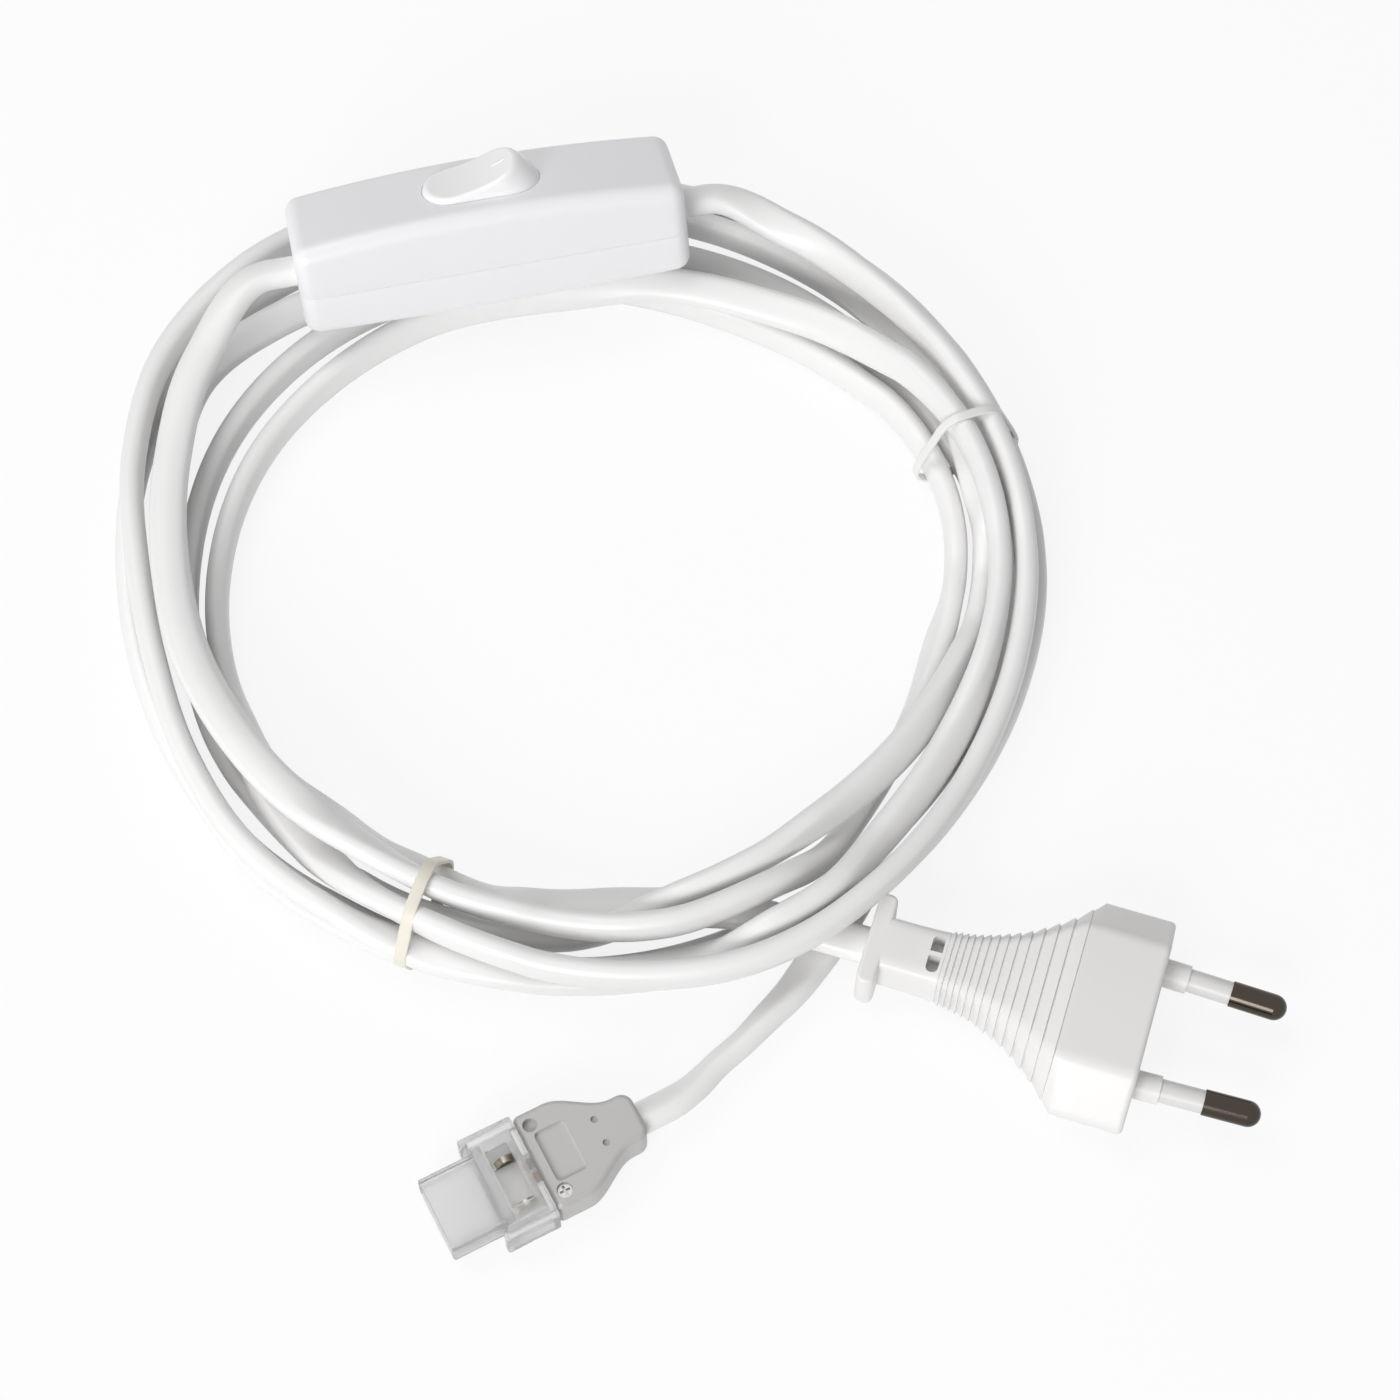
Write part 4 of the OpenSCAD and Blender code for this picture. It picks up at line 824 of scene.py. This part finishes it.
# %% [markdown]
# ## The rocker
# The rocker is drawn level about its axle and then tilted to its rest, one end up and one end
# down. Its plan is a stadium that grows shorter with height, because its ends are turned about
# the axle. The top is dished, and meets the walls in a soft edge. A sphere cut out of a block
# would give the dish, but not the even soft edge, so each row is placed where wall and top meet.

# %% Outline and top of the rocker
ROCK_TILT, ROCK_TOP, ROCK_DISH = 14.0, 6.9, 1.2
ROCK_TAPER, ROCK_FOOT_Z, ROCK_SOFT = 0.1, -0.5, 0.7
ROCK_R = ROCK_L / 2 - 0.05
way = (np.arange(96) + 0.5) * 2 * math.pi / 96
compass = np.stack([np.cos(way), np.sin(way)], 1)


def rocker_top(x):
    """Height of the dished top above the axle: a parabola, highest at both ends."""
    return ROCK_TOP - ROCK_DISH + 1.6 * ROCK_DISH * (x / ROCK_R) ** 2


def rocker_outline(z, less=0.0):
    """Outline at height z, one height per point: a stadium whose half length is the other side
    of a right triangle over z, and whose half width narrows a little upwards."""
    z = np.broadcast_to(z, len(compass))
    l = np.sqrt(ROCK_R**2 - z**2) - less
    w = ROCK_W / 2 * (1 - ROCK_TAPER * np.clip(z / ROCK_TOP, 0, 1.2) ** 2) - less
    return to_stadium(compass * np.stack([l, w], 1), l, w)


def rocker_edge(less):
    """Heights at which the walls, moved in by less, meet the top: found by going back and forth
    between the height at a point and the outline at that height."""
    z = np.full(len(compass), ROCK_TOP)
    for _ in range(12):
        z = rocker_top(rocker_outline(z, less)[:, 0])
    return z


print("the rocker's edge is %.1f to %.1f mm above its axle"
      % (rocker_edge(0.0).min(), rocker_edge(0.0).max()))

# %% [markdown]
# The rows go up the wall, over the soft edge and in over the dished top. A short raised bar
# marks the end that is pressed to switch on. The finished rocker rides on the body that tilts.

# %% The rocker's skin and its mark
foot = rocker_outline(ROCK_FOOT_Z)
wall_height = rocker_edge(0.0) - ROCK_SOFT - ROCK_FOOT_Z
rows = [level(foot * [0.55, 0.9], -AXLE_D), level(foot, ROCK_FOOT_Z)]
for share in (0.15, 0.3, 0.45, 0.6, 0.75, 0.9, 1.0):
    z = ROCK_FOOT_Z + wall_height * share
    rows.append(level(rocker_outline(z), z))
for a in quarter(7)[1:]:
    less = ROCK_SOFT * (1 - math.cos(a))
    z = rocker_edge(less) - ROCK_SOFT * (1 - math.sin(a))
    rows.append(level(rocker_outline(z, less), z))
brow = rows[-1][:, :2]
for share in (0.97, 0.85, 0.65, 0.45, 0.25, 0.1):
    flat = brow * share
    rows.append(level(flat, rocker_top(flat[:, 0])))

MARK_X0, MARK_X1, MARK_HALF, MARK_RISE, MARK_EDGE = 3.7, 6.1, 0.17, 0.1, 0.06
mark = rectangle(MARK_X0, MARK_X1, -MARK_HALF, MARK_HALF, MARK_HALF, 4)
lift = rocker_top(mark[:, 0])
mark_rows = np.stack([
    level(mark, lift - 0.2), level(mark, lift + MARK_RISE / 2),
    level(inset(mark, MARK_EDGE), lift + MARK_RISE),
])


def tilted(points):
    """Points about the axle, tilted as the rocker rests, in the switch frame: a turn about the
    axle, which lies along Y."""
    c, s = math.cos(math.radians(ROCK_TILT)), math.sin(math.radians(ROCK_TILT))
    x, y, z = np.asarray(points).T
    return np.stack([x * c - z * s, y, x * s + z * c + AXLE_Z], 1)


rocker = piece("rocker_cap", joined(skin(np.stack(rows)), skin(mark_rows)),
               lambda p: at_switch(tilted(p)), crease=40)
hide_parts("rocker")
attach(rocker, "rocker")
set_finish(rocker, "white_shell")
print("rocker", len(rocker.data.polygons), "faces")

# %% [markdown]
# ## The connector's overmould
# A light grey moulding grips the cord's end and widens in a soft curve to the clip. Its plan is
# one outline, drawn as a half width that is mirrored, and raised to a block with rounded edges.
# Its top has a shallow panel, a round recess, a screw hole and two small probe holes. These are
# cut out, because they lie anywhere on the flat top and not along the rows.

# %% Body of the overmould
MOULD_LEN, MOULD_W, MOULD_TAIL_W, MOULD_H = 17.2, 15.8, 7.9, 7.0
FLARE_START, FLARE_LEN = 3.0, 9.0
TAIL_R, NOSE_R, MOULD_EDGE = 1.9, 1.0, 0.8


def mould_half(x):
    """Half width: a smooth step from the tail to the shoulder, with quarter circles that round
    off the corners at both ends."""
    w = (MOULD_TAIL_W + (MOULD_W - MOULD_TAIL_W) * eased((x - FLARE_START) / FLARE_LEN)) / 2
    tail = np.clip(TAIL_R - x, 0, TAIL_R)
    nose = np.clip(x - MOULD_LEN + NOSE_R, 0, NOSE_R)
    return w - TAIL_R + np.sqrt(TAIL_R**2 - tail**2) - NOSE_R + np.sqrt(NOSE_R**2 - nose**2)


tail_x = TAIL_R * (1 - np.cos(quarter(8)))
middle_x = np.linspace(TAIL_R + 0.3, MOULD_LEN - NOSE_R - 0.3, 26)
nose_x = MOULD_LEN - NOSE_R * (1 - np.sin(quarter(7)))
mould_x = np.concatenate([tail_x, middle_x, nose_x])
half = mould_half(mould_x)
mould_loop = np.concatenate([
    np.stack([mould_x, -half], 1), np.stack([mould_x, half], 1)[::-1],
])
top = MOULD_H / 2
mould = block(mould_loop, -top, top, MOULD_EDGE, MOULD_EDGE, 7)
overmould = piece("connector_overmould", mould, at_connector, crease=30)
print("overmould's outline", len(mould_loop), "points")

# %% Panel and holes of the overmould
PANEL = {"x0": 10.4, "x1": 15.4, "y0": -4.2, "y1": 4.2, "cut": 0.9}
PANEL_DEPTH, PANEL_EDGE = 0.6, 0.2
ROUND_HOLES = {
    "recess": (15.2, -5.6, 1.1, 1.0), "screw hole": (15.0, 5.6, 1.2, 3.0),
    "left probe": (6.4, 2.0, 0.55, 0.5), "right probe": (6.4, -2.0, 0.55, 0.5),
}
cuts = [block(rectangle(**PANEL), top - PANEL_DEPTH, top + 1, PANEL_EDGE)]
for x, y, r, depth in ROUND_HOLES.values():
    cuts.append(block(circle(x, y, r), top - depth, top + 1))
worked(overmould, placed(cuts, at_connector), crease=30)
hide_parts("connector_body")
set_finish(overmould, "grey_overmould")
print("overmould", len(overmould.data.polygons), "faces")

# %% [markdown]
# ## The clear clip and sleeve
# The clip holds the contacts and the sleeve guides the flat strip. Both are clear mouldings
# with real walls, because light passes each wall twice, and a solid block would look like ice.

# %% The clip
CLIP_X, CLIP_LEN, CLIP_W, CLIP_H = MOULD_LEN + 0.02, 7.6, 15.4, 8.4
CLIP_WALL, CLIP_EDGE, CLIP_CORNER = 1.0, 0.3, 0.9
RAIL_LEN, RAIL_W, RAIL_H, RAIL_Y, RAIL_CORNER = 8.6, 1.3, 6.0, 7.95, 0.4
CORE_HOLE_W, CORE_HOLE_H, CORE_HOLE_Z = 5.0, 2.4, -0.4
WINDOW_X0, WINDOW_X1, WINDOW_HALF, WINDOW_CORNER = 2.2, 5.8, 4.7, 0.4


def box_along(x0, x1, w, h, cut, low=0.0, high=0.0, y=0.0, z=0.0):
    """Block along X with a rounded section, w wide and h high: the section is drawn over y and
    z and raised from x0 to x1, and the three coordinates are then put in their usual order."""
    loop = rectangle(y - w / 2, y + w / 2, z - h / 2, z + h / 2, cut)
    points, faces = block(loop, x0, x1, low, high)
    return points[:, [2, 0, 1]], faces


clip_end = CLIP_X + CLIP_LEN
clip_box = box_along(CLIP_X, clip_end, CLIP_W, CLIP_H, CLIP_CORNER, CLIP_EDGE, CLIP_EDGE)
clip = piece("strip_clip", clip_box, at_connector)
rails = [
    box_along(CLIP_X, CLIP_X + RAIL_LEN, RAIL_W, RAIL_H, RAIL_CORNER, CLIP_EDGE, CLIP_EDGE,
              y=side * RAIL_Y)
    for side in (1, -1)
]
worked(clip, placed(rails, at_connector), "UNION")
window = rectangle(CLIP_X + WINDOW_X0, CLIP_X + WINDOW_X1, -WINDOW_HALF, WINDOW_HALF,
                   WINDOW_CORNER)
inner_w, inner_h = CLIP_W - 2 * CLIP_WALL, CLIP_H - 2 * CLIP_WALL
hollows = [
    box_along(CLIP_X + CLIP_WALL, clip_end + 1, inner_w, inner_h, 0.5),
    box_along(CLIP_X - 1, CLIP_X + 2, CORE_HOLE_W, CORE_HOLE_H, 0.3, z=CORE_HOLE_Z),
    block(window, 0, CLIP_H),
]
worked(clip, placed(hollows, at_connector), crease=30)
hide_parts("connector_clip")
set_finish(clip, "clear_plastic")
print("clip", len(clip.data.polygons), "faces")

# %% [markdown]
# The sleeve is a rounded rectangular tube that the strip is pushed into. Its rows start outside
# at the collar in the clip, run out to the mouth, turn over its rim and come back inside, so
# that inner and outer wall are one closed skin.

# %% The sleeve
SLEEVE_LEN, SLEEVE_W, SLEEVE_H, SLEEVE_WALL = 8.6, 12.2, 6.4, 0.8
COLLAR_LEN, COLLAR_FIT, SLEEVE_IN = 1.2, 0.1, 1.6
COLLAR_W, COLLAR_H = inner_w - COLLAR_FIT, inner_h - COLLAR_FIT
root_x, mouth_x = clip_end - SLEEVE_IN, clip_end + SLEEVE_LEN
collar_x = root_x + COLLAR_LEN


def sleeve_row(x, w, h, cut):
    """Rounded rectangle over y and z at x. All rows have the same number of points."""
    loop = rectangle(-w / 2, w / 2, -h / 2, h / 2, cut, 8)
    return np.column_stack([np.full(len(loop), x), loop])


rows = [sleeve_row(x, COLLAR_W, COLLAR_H, 1.4) for x in (root_x, collar_x)]
for x, less, cut in (
    (collar_x + 0.05, 0.0, 1.6), (mouth_x - 0.3, 0.0, 1.6), (mouth_x - 0.09, 0.18, 1.5),
    (mouth_x, 0.6, 1.4), (mouth_x, 1.2, 1.2),
    (mouth_x - 0.2, 2 * SLEEVE_WALL, 0.9), (root_x, 2 * SLEEVE_WALL, 0.9),
):
    rows.append(sleeve_row(x, SLEEVE_W - less, SLEEVE_H - less, cut))
sleeve = piece("strip_guide", skin(np.stack(rows), wrap_rows=True), at_connector, crease=30)
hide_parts("strip_sleeve")
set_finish(sleeve, "clear_plastic")
print("sleeve", len(sleeve.data.polygons), "faces")

# %% [markdown]
# ## The ties
# A thin band closes round the bundle in two places. Its outline is a loop in the plane that
# cuts the coil, and a small rounded strip section is carried round it. Shrinking a ring onto
# the cords by a modifier would follow every gap, while a real band spans them.

# %% A band round an outline
BAND_THICK, BAND_CORNER, BAND_EDGE = 0.6, 1.6, 0.2


def band(outline, at, width):
    """A strip of that width round an outline of radius and height. The outline is its inner
    side; the corners are rounded, and the loop is turned to its clock angle."""
    loop = rounded(np.asarray(outline, float)[::-1], BAND_CORNER) + [0, BAND_THICK]
    along = np.roll(loop, -1, 0) - np.roll(loop, 1, 0)
    out = np.stack([along[:, 1], -along[:, 0]], 1) / np.linalg.norm(along, axis=1, keepdims=True)
    strip = rectangle(0, BAND_THICK, -width / 2, width / 2, BAND_EDGE, 3)
    a = math.radians(at)
    radial = np.array([math.sin(a), math.cos(a), 0])
    tangent = np.array([math.cos(a), -math.sin(a), 0])
    flat = loop[:, None] + out[:, None] * strip[None, :, :1]
    points = (
        np.array([*COIL, 0.0]) + flat[..., :1] * radial
        + flat[..., 1:] * np.array([0, 0, 1.0]) + strip[None, :, 1:] * tangent
    )
    return skin(points, wrap_rows=True)


print("a band is", BAND_THICK, "mm thick")

# %% The white tie and the cream tie
UPPER = [
    [62.2, 0], [60.1, 1.9], [60.1, 4.7], [64, 14.7], [65.4, 15.8], [66.7, 16.3],
    [71.6, 15.8], [73.6, 14], [77.3, 4.7], [77.3, 1.9], [75.2, 0],
]
LOWER = [
    [61.8, 0], [55.4, 0.9], [54.1, 4.4], [54.8, 6.7], [58.7, 13.9], [61.7, 14.9],
    [67.2, 14], [71.8, 8.1], [72.5, 6.9], [71.1, 1.9], [69.2, 0],
]
upper_tie = piece("upper_tie_band", band(UPPER, TIES_AT[0], 1.5))
lower_tie = piece("lower_tie_band", band(LOWER, TIES_AT[1], 2.0))
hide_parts("tie_upper")
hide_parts("tie_lower")
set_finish(upper_tie, "tie_white")
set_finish(lower_tie, "tie_cream")
print("ties", len(upper_tie.data.polygons), len(lower_tie.data.polygons))

# %% [markdown]


print("both cords made")

# %% [markdown]
# ## Finishes
# Two shader groups are shared. One gives moulded plastic its faint grain and unevenness, and
# one gives metal its fine scratches. Each material sets its own amounts, and a group's own
# values hold where a material sets none. Sizes count noise cells to a metre.

# %% Grain of moulded plastic
def group(name, inputs, outputs):
    """An empty shader group with float inputs and the named outputs."""
    made = bpy.data.node_groups.new(name, "ShaderNodeTree")
    for label, value in inputs:
        socket = made.interface.new_socket(label, in_out="INPUT", socket_type="NodeSocketFloat")
        socket.default_value = value
    for label, kind in outputs:
        made.interface.new_socket(label, in_out="OUTPUT", socket_type=kind)
    return made, made.nodes.new("NodeGroupInput"), made.nodes.new("NodeGroupOutput")


def add(tree, kind, **settings):
    """A node with some of its settings and input values."""
    made = tree.nodes.new(kind)
    for key, value in settings.items():
        if hasattr(made, key):
            setattr(made, key, value)
        else:
            made.inputs[key.replace("_", " ")].default_value = value
    return made


moulded, given, result = group(
    "moulded_grain",
    [("Grain Size", 1400.0), ("Grain Depth", 0.1), ("Unevenness", 0.03),
     ("Gloss Low", 0.3), ("Gloss High", 0.4)],
    [("Tone", "NodeSocketFloat"), ("Roughness", "NodeSocketFloat"), ("Normal", "NodeSocketVector")],
)
where = add(moulded, "ShaderNodeTexCoord")
fine = add(moulded, "ShaderNodeTexNoise", Detail=4.0, Roughness=0.6)
broad = add(moulded, "ShaderNodeTexNoise", Scale=90.0, Detail=3.0)
slow = add(moulded, "ShaderNodeTexNoise", Scale=35.0, Detail=2.0)
bump = add(moulded, "ShaderNodeBump", Distance=0.00004)
less = add(moulded, "ShaderNodeMath", operation="SUBTRACT")
less.inputs[0].default_value = 1.0
amount = add(moulded, "ShaderNodeMath", operation="MULTIPLY")
gloss = add(moulded, "ShaderNodeMapRange")
wire = moulded.links.new
for texture in (fine, broad, slow):
    wire(where.outputs["Object"], texture.inputs["Vector"])
wire(given.outputs["Grain Size"], fine.inputs["Scale"])
wire(fine.outputs["Fac"], bump.inputs["Height"])
wire(given.outputs["Grain Depth"], bump.inputs["Strength"])
wire(slow.outputs["Fac"], amount.inputs[0])
wire(given.outputs["Unevenness"], amount.inputs[1])
wire(amount.outputs[0], less.inputs[1])
wire(broad.outputs["Fac"], gloss.inputs["Value"])
wire(given.outputs["Gloss Low"], gloss.inputs["To Min"])
wire(given.outputs["Gloss High"], gloss.inputs["To Max"])
wire(less.outputs[0], result.inputs["Tone"])
wire(gloss.outputs["Result"], result.inputs["Roughness"])
wire(bump.outputs["Normal"], result.inputs["Normal"])

print("grain puts out", [socket.name for socket in result.inputs][:3])

# %% [markdown]
# Metal parts are drawn or rolled, so their fine marks run one way. Noise that is stretched by a
# Mapping node gives such marks, and the same noise makes the gloss uneven.

# %% Scratches on metal
scratched, given, result = group(
    "metal_scratches",
    [("Scratch Size", 900.0), ("Scratch Depth", 0.15), ("Gloss Low", 0.15), ("Gloss High", 0.3)],
    [("Roughness", "NodeSocketFloat"), ("Normal", "NodeSocketVector")],
)
where = add(scratched, "ShaderNodeTexCoord")
lengthen = add(scratched, "ShaderNodeMapping")
lengthen.inputs["Scale"].default_value = (1.0, 0.12, 1.0)
lines = add(scratched, "ShaderNodeTexNoise", Detail=5.0, Roughness=0.7)
bump = add(scratched, "ShaderNodeBump", Distance=0.00003)
gloss = add(scratched, "ShaderNodeMapRange")
wire = scratched.links.new
wire(where.outputs["Object"], lengthen.inputs["Vector"])
wire(lengthen.outputs["Vector"], lines.inputs["Vector"])
wire(given.outputs["Scratch Size"], lines.inputs["Scale"])
wire(lines.outputs["Fac"], bump.inputs["Height"])
wire(given.outputs["Scratch Depth"], bump.inputs["Strength"])
wire(lines.outputs["Fac"], gloss.inputs["Value"])
wire(given.outputs["Gloss Low"], gloss.inputs["To Min"])
wire(given.outputs["Gloss High"], gloss.inputs["To Max"])
wire(gloss.outputs["Result"], result.inputs["Roughness"])
wire(bump.outputs["Normal"], result.inputs["Normal"])
print("groups", [g.name for g in bpy.data.node_groups])

# %% [markdown]
# ## Materials
# A plastic's colour is mixed with black by the group's tone, which stays so close to 1 that the
# colour only varies by a few hundredths. Values that are the same all over, such as how much
# light a clear plastic lets through, are set on the shader itself.

# %% Plastic, metal and clear plastic
def start_material(name, color):
    """A material whose Principled shader has that plain colour."""
    made = bpy.data.materials.new(name)
    made.use_nodes = True
    shader = made.node_tree.nodes["Principled BSDF"]
    shader.inputs["Base Color"].default_value = (*color, 1.0)
    return made, made.node_tree, shader


def place_group(tree, used, values):
    """The group in a material, with its own values."""
    node = tree.nodes.new("ShaderNodeGroup")
    node.node_tree = used
    for label, value in values.items():
        node.inputs[label].default_value = value
    return node


def plastic(name, color, gloss, size=1400.0, depth=0.1, uneven=0.03):
    """Moulded plastic: the colour varies with the tone, gloss and grain come from the group."""
    made, tree, shader = start_material(name, color)
    grain = place_group(tree, moulded, {
        "Grain Size": size, "Grain Depth": depth, "Unevenness": uneven,
        "Gloss Low": gloss[0], "Gloss High": gloss[1],
    })
    tint = tree.nodes.new("ShaderNodeMix")
    tint.data_type = "RGBA"
    tint.inputs["A"].default_value = (0.0, 0.0, 0.0, 1.0)
    tint.inputs["B"].default_value = (*color, 1.0)
    tree.links.new(grain.outputs["Tone"], tint.inputs["Factor"])
    tree.links.new(tint.outputs["Result"], shader.inputs["Base Color"])
    tree.links.new(grain.outputs["Roughness"], shader.inputs["Roughness"])
    tree.links.new(grain.outputs["Normal"], shader.inputs["Normal"])
    return made


def metal(name, color, gloss):
    """Bare or plated metal with fine scratches."""
    made, tree, shader = start_material(name, color)
    shader.inputs["Metallic"].default_value = 1.0
    marks = place_group(tree, scratched, {"Gloss Low": gloss[0], "Gloss High": gloss[1]})
    tree.links.new(marks.outputs["Roughness"], shader.inputs["Roughness"])
    tree.links.new(marks.outputs["Normal"], shader.inputs["Normal"])
    return made


def clear(name, color, gloss):
    """Clear moulded plastic with a faintly uneven surface."""
    made, tree, shader = start_material(name, color)
    shader.inputs["Transmission Weight"].default_value = 0.85
    shader.inputs["IOR"].default_value = 1.46
    waves = place_group(tree, moulded, {
        "Grain Size": 300.0, "Grain Depth": 0.2, "Gloss Low": gloss[0], "Gloss High": gloss[1],
    })
    tree.links.new(waves.outputs["Roughness"], shader.inputs["Roughness"])
    tree.links.new(waves.outputs["Normal"], shader.inputs["Normal"])
    return made


print("three kinds of material ready")

# %% [markdown]
# The whites differ on purpose. The switch is slightly blue and the plug slightly warm, and the
# rocker is glossier than the housing. The plated pins get a nearly black colour, a painted dark
# reflection, because a white table all round would otherwise make bare metal look white as well.

# %% The finishes
finishes = {
    "white_shell": plastic(
        "satin_white_shell", (0.9, 0.9, 0.92), (0.32, 0.4), depth=0.12, uneven=0.02,
    ),
    "rocker_white": plastic(
        "glossy_white_rocker", (0.95, 0.95, 0.96), (0.14, 0.2), depth=0.05, uneven=0.01,
    ),
    "plug_white": plastic(
        "soft_white_plug", (0.81, 0.8, 0.79), (0.34, 0.42), depth=0.12, uneven=0.02,
    ),
    "cord_jacket": plastic(
        "soft_white_jacket", (0.87, 0.865, 0.86), (0.3, 0.4), size=700.0, depth=0.12,
    ),
    "white_sleeve": plastic("white_pin_sleeve", (0.72, 0.71, 0.7), (0.3, 0.38)),
    # The nickel's near-black colour is a painted dark reflection: it stands in for the dark
    # surroundings that bare metal would reflect.
    "nickel": metal("nickel_painted_dark_reflection", (0.07, 0.058, 0.049), (0.12, 0.2)),
    "steel": metal("zinc_plated_steel", (0.62, 0.62, 0.62), (0.25, 0.4)),
    "contact_brass": metal("contact_brass", (0.72, 0.56, 0.30), (0.2, 0.35)),
    "tinned_brass": metal("tinned_brass", (0.42, 0.39, 0.33), (0.25, 0.4)),
    "screw_steel": metal("screw_steel", (0.46, 0.45, 0.44), (0.35, 0.5)),
    "core_insulation": plastic("brown_core", (0.33, 0.20, 0.12), (0.3, 0.4)),
    "grey_overmould": plastic("grey_overmould", (0.5, 0.49, 0.48), (0.32, 0.42), depth=0.15),
    "clear_plastic": clear("clear_moulding", (0.83, 0.83, 0.83), (0.2, 0.3)),
    "pad_white": plastic("white_pad", (0.88, 0.88, 0.87), (0.6, 0.7), depth=0.3),
    "tie_white": plastic("white_tie", (0.85, 0.85, 0.84), (0.35, 0.45)),
    "tie_cream": plastic("cream_tie", (0.80, 0.76, 0.66), (0.35, 0.45)),
}
print("finishes", len(finishes))

# %% [markdown]
# ## Which piece gets which finish
# Every piece has already said which of the frame's finishes it takes. The CAD pieces that stay
# are named in one table. A few pieces look a little different from the others of their finish:
# the plug is warmer than the switch, the rocker is glossier, the springs are tinned and the
# screw is duller.

# %% Give every piece its finish
def dress(made, name):
    """One material over the whole piece."""
    made.data.materials.clear()
    made.data.materials.append(finishes[name])


for made in list(scene.objects):
    if made.type == "MESH" and made.get("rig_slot"):
        dress(made, made["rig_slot"])
        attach(made, "rocker" if made == rocker else "cord_set")
CAD_FINISH = {
    "plug_insert": "white_shell", "plug_pins": "nickel", "pin_sleeves": "white_sleeve",
    "plug_crimps": "nickel", "plug_cores": "core_insulation", "rocker_axle": "steel",
    "rocker_spring": "steel", "contact_bridge": "contact_brass", "bridge_terminal": "contact_brass",
    "fixed_contact": "contact_brass", "terminal_screws": "steel", "cord_clamps": "white_shell",
    "clamp_screws": "steel", "housing_screws": "steel", "cord_ends": "cord_jacket",
    "switch_cores": "core_insulation", "contact_springs": "contact_brass",
    "contact_pad": "pad_white", "connector_screw": "steel", "connector_cores": "core_insulation",
}
OWN_LOOK = {
    "plug_insert": "plug_white", "contact_springs": "tinned_brass",
    "connector_screw": "screw_steel",
}
for name, finish in CAD_FINISH.items():
    dress(cad[name], OWN_LOOK.get(name, finish))
    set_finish(cad[name], finish)
dress(plug_shell, "plug_white")
dress(rocker, "rocker_white")
print("CAD nodes dressed", len(CAD_FINISH))

# %% [markdown]
# ## Table top and light
# A broad lamp stands in front of the object and to its left. A weaker one hangs high above, to
# the left and a little behind. Walls that face the front are bright, and tops are a little
# greyer. The table top is white for the camera, and keeps a faint shadow.

# %% White for the camera only
def white_for_camera(tree, shader, strength):
    """Mix a shader with plain white light for rays from the camera, from gloss and from glass."""
    path = tree.nodes.new("ShaderNodeLightPath")
    glow = tree.nodes.new("ShaderNodeEmission")
    glow.inputs["Strength"].default_value = 1.0
    glow.inputs["Color"].default_value = (1, 1, 1, 1)
    first = add(tree, "ShaderNodeMath", operation="MAXIMUM")
    second = add(tree, "ShaderNodeMath", operation="MAXIMUM")
    share = add(tree, "ShaderNodeMath", operation="MULTIPLY")
    mix = tree.nodes.new("ShaderNodeMixShader")
    tree.links.new(path.outputs["Is Camera Ray"], first.inputs[0])
    tree.links.new(path.outputs["Is Glossy Ray"], first.inputs[1])
    tree.links.new(first.outputs[0], second.inputs[0])
    tree.links.new(path.outputs["Is Transmission Ray"], second.inputs[1])
    tree.links.new(second.outputs[0], share.inputs[0])
    share.inputs[1].default_value = strength
    tree.links.new(share.outputs[0], mix.inputs["Fac"])
    tree.links.new(shader.outputs[0], mix.inputs[1])
    tree.links.new(glow.outputs[0], mix.inputs[2])
    return mix


print("helper for white ready")

# %% Table top
TABLE_HALF, TABLE_Z, TABLE_WHITE = 4.0, -0.0002, 0.86

table = bpy.data.meshes.new("table_top")
around = [(x, y, TABLE_Z) for x, y in TABLE_HALF * np.array([[-1, -1], [1, -1], [1, 1], [-1, 1]])]
table.from_pydata(around, [], [(0, 1, 2, 3)])
table_top = bpy.data.objects.new("table_top", table)
scene.collection.objects.link(table_top)
paint, tree, shader = start_material("table_white", (0.92, 0.92, 0.92))
shader.inputs["Roughness"].default_value = 1.0
shader.inputs["Specular IOR Level"].default_value = 0.0
mix = white_for_camera(tree, shader, TABLE_WHITE)
tree.links.new(mix.outputs[0], tree.nodes["Material Output"].inputs["Surface"])
table.materials.append(paint)
print("table top %.0f m wide, %.0f%% white for the camera" % (2 * TABLE_HALF, 100 * TABLE_WHITE))

# %% World
SKY_STRENGTH = 0.35

world = bpy.data.worlds.new("soft_room")
scene.world = world
world.use_nodes = True
sky = world.node_tree.nodes["Background"]
sky.inputs["Color"].default_value = (1.0, 1.0, 1.0, 1.0)
sky.inputs["Strength"].default_value = SKY_STRENGTH
mix = white_for_camera(world.node_tree, sky, 1.0)
world.node_tree.links.new(mix.outputs[0], world.node_tree.nodes["World Output"].inputs["Surface"])
print("sky strength", SKY_STRENGTH)

# %% Lamps
def lamp(name, place, size, power):
    """A square soft lamp at a place, turned towards the middle of the table."""
    light = bpy.data.lights.new(name, "AREA")
    light.size = size
    light.energy = power
    made = bpy.data.objects.new(name, light)
    made.location = place
    x, y, z = place
    made.rotation_euler = (math.atan2(math.hypot(x, y), z), 0.0, math.atan2(-x, y) + math.pi)
    scene.collection.objects.link(made)
    return made


front_lamp = lamp("front_lamp", (-0.45, -1.0, 0.65), size=0.55, power=9.2)
top_lamp = lamp("top_lamp", (-0.55, 0.3, 1.15), size=0.8, power=5.2)
for made in (front_lamp, top_lamp):
    print(made.name, "%.1f W" % made.data.energy)
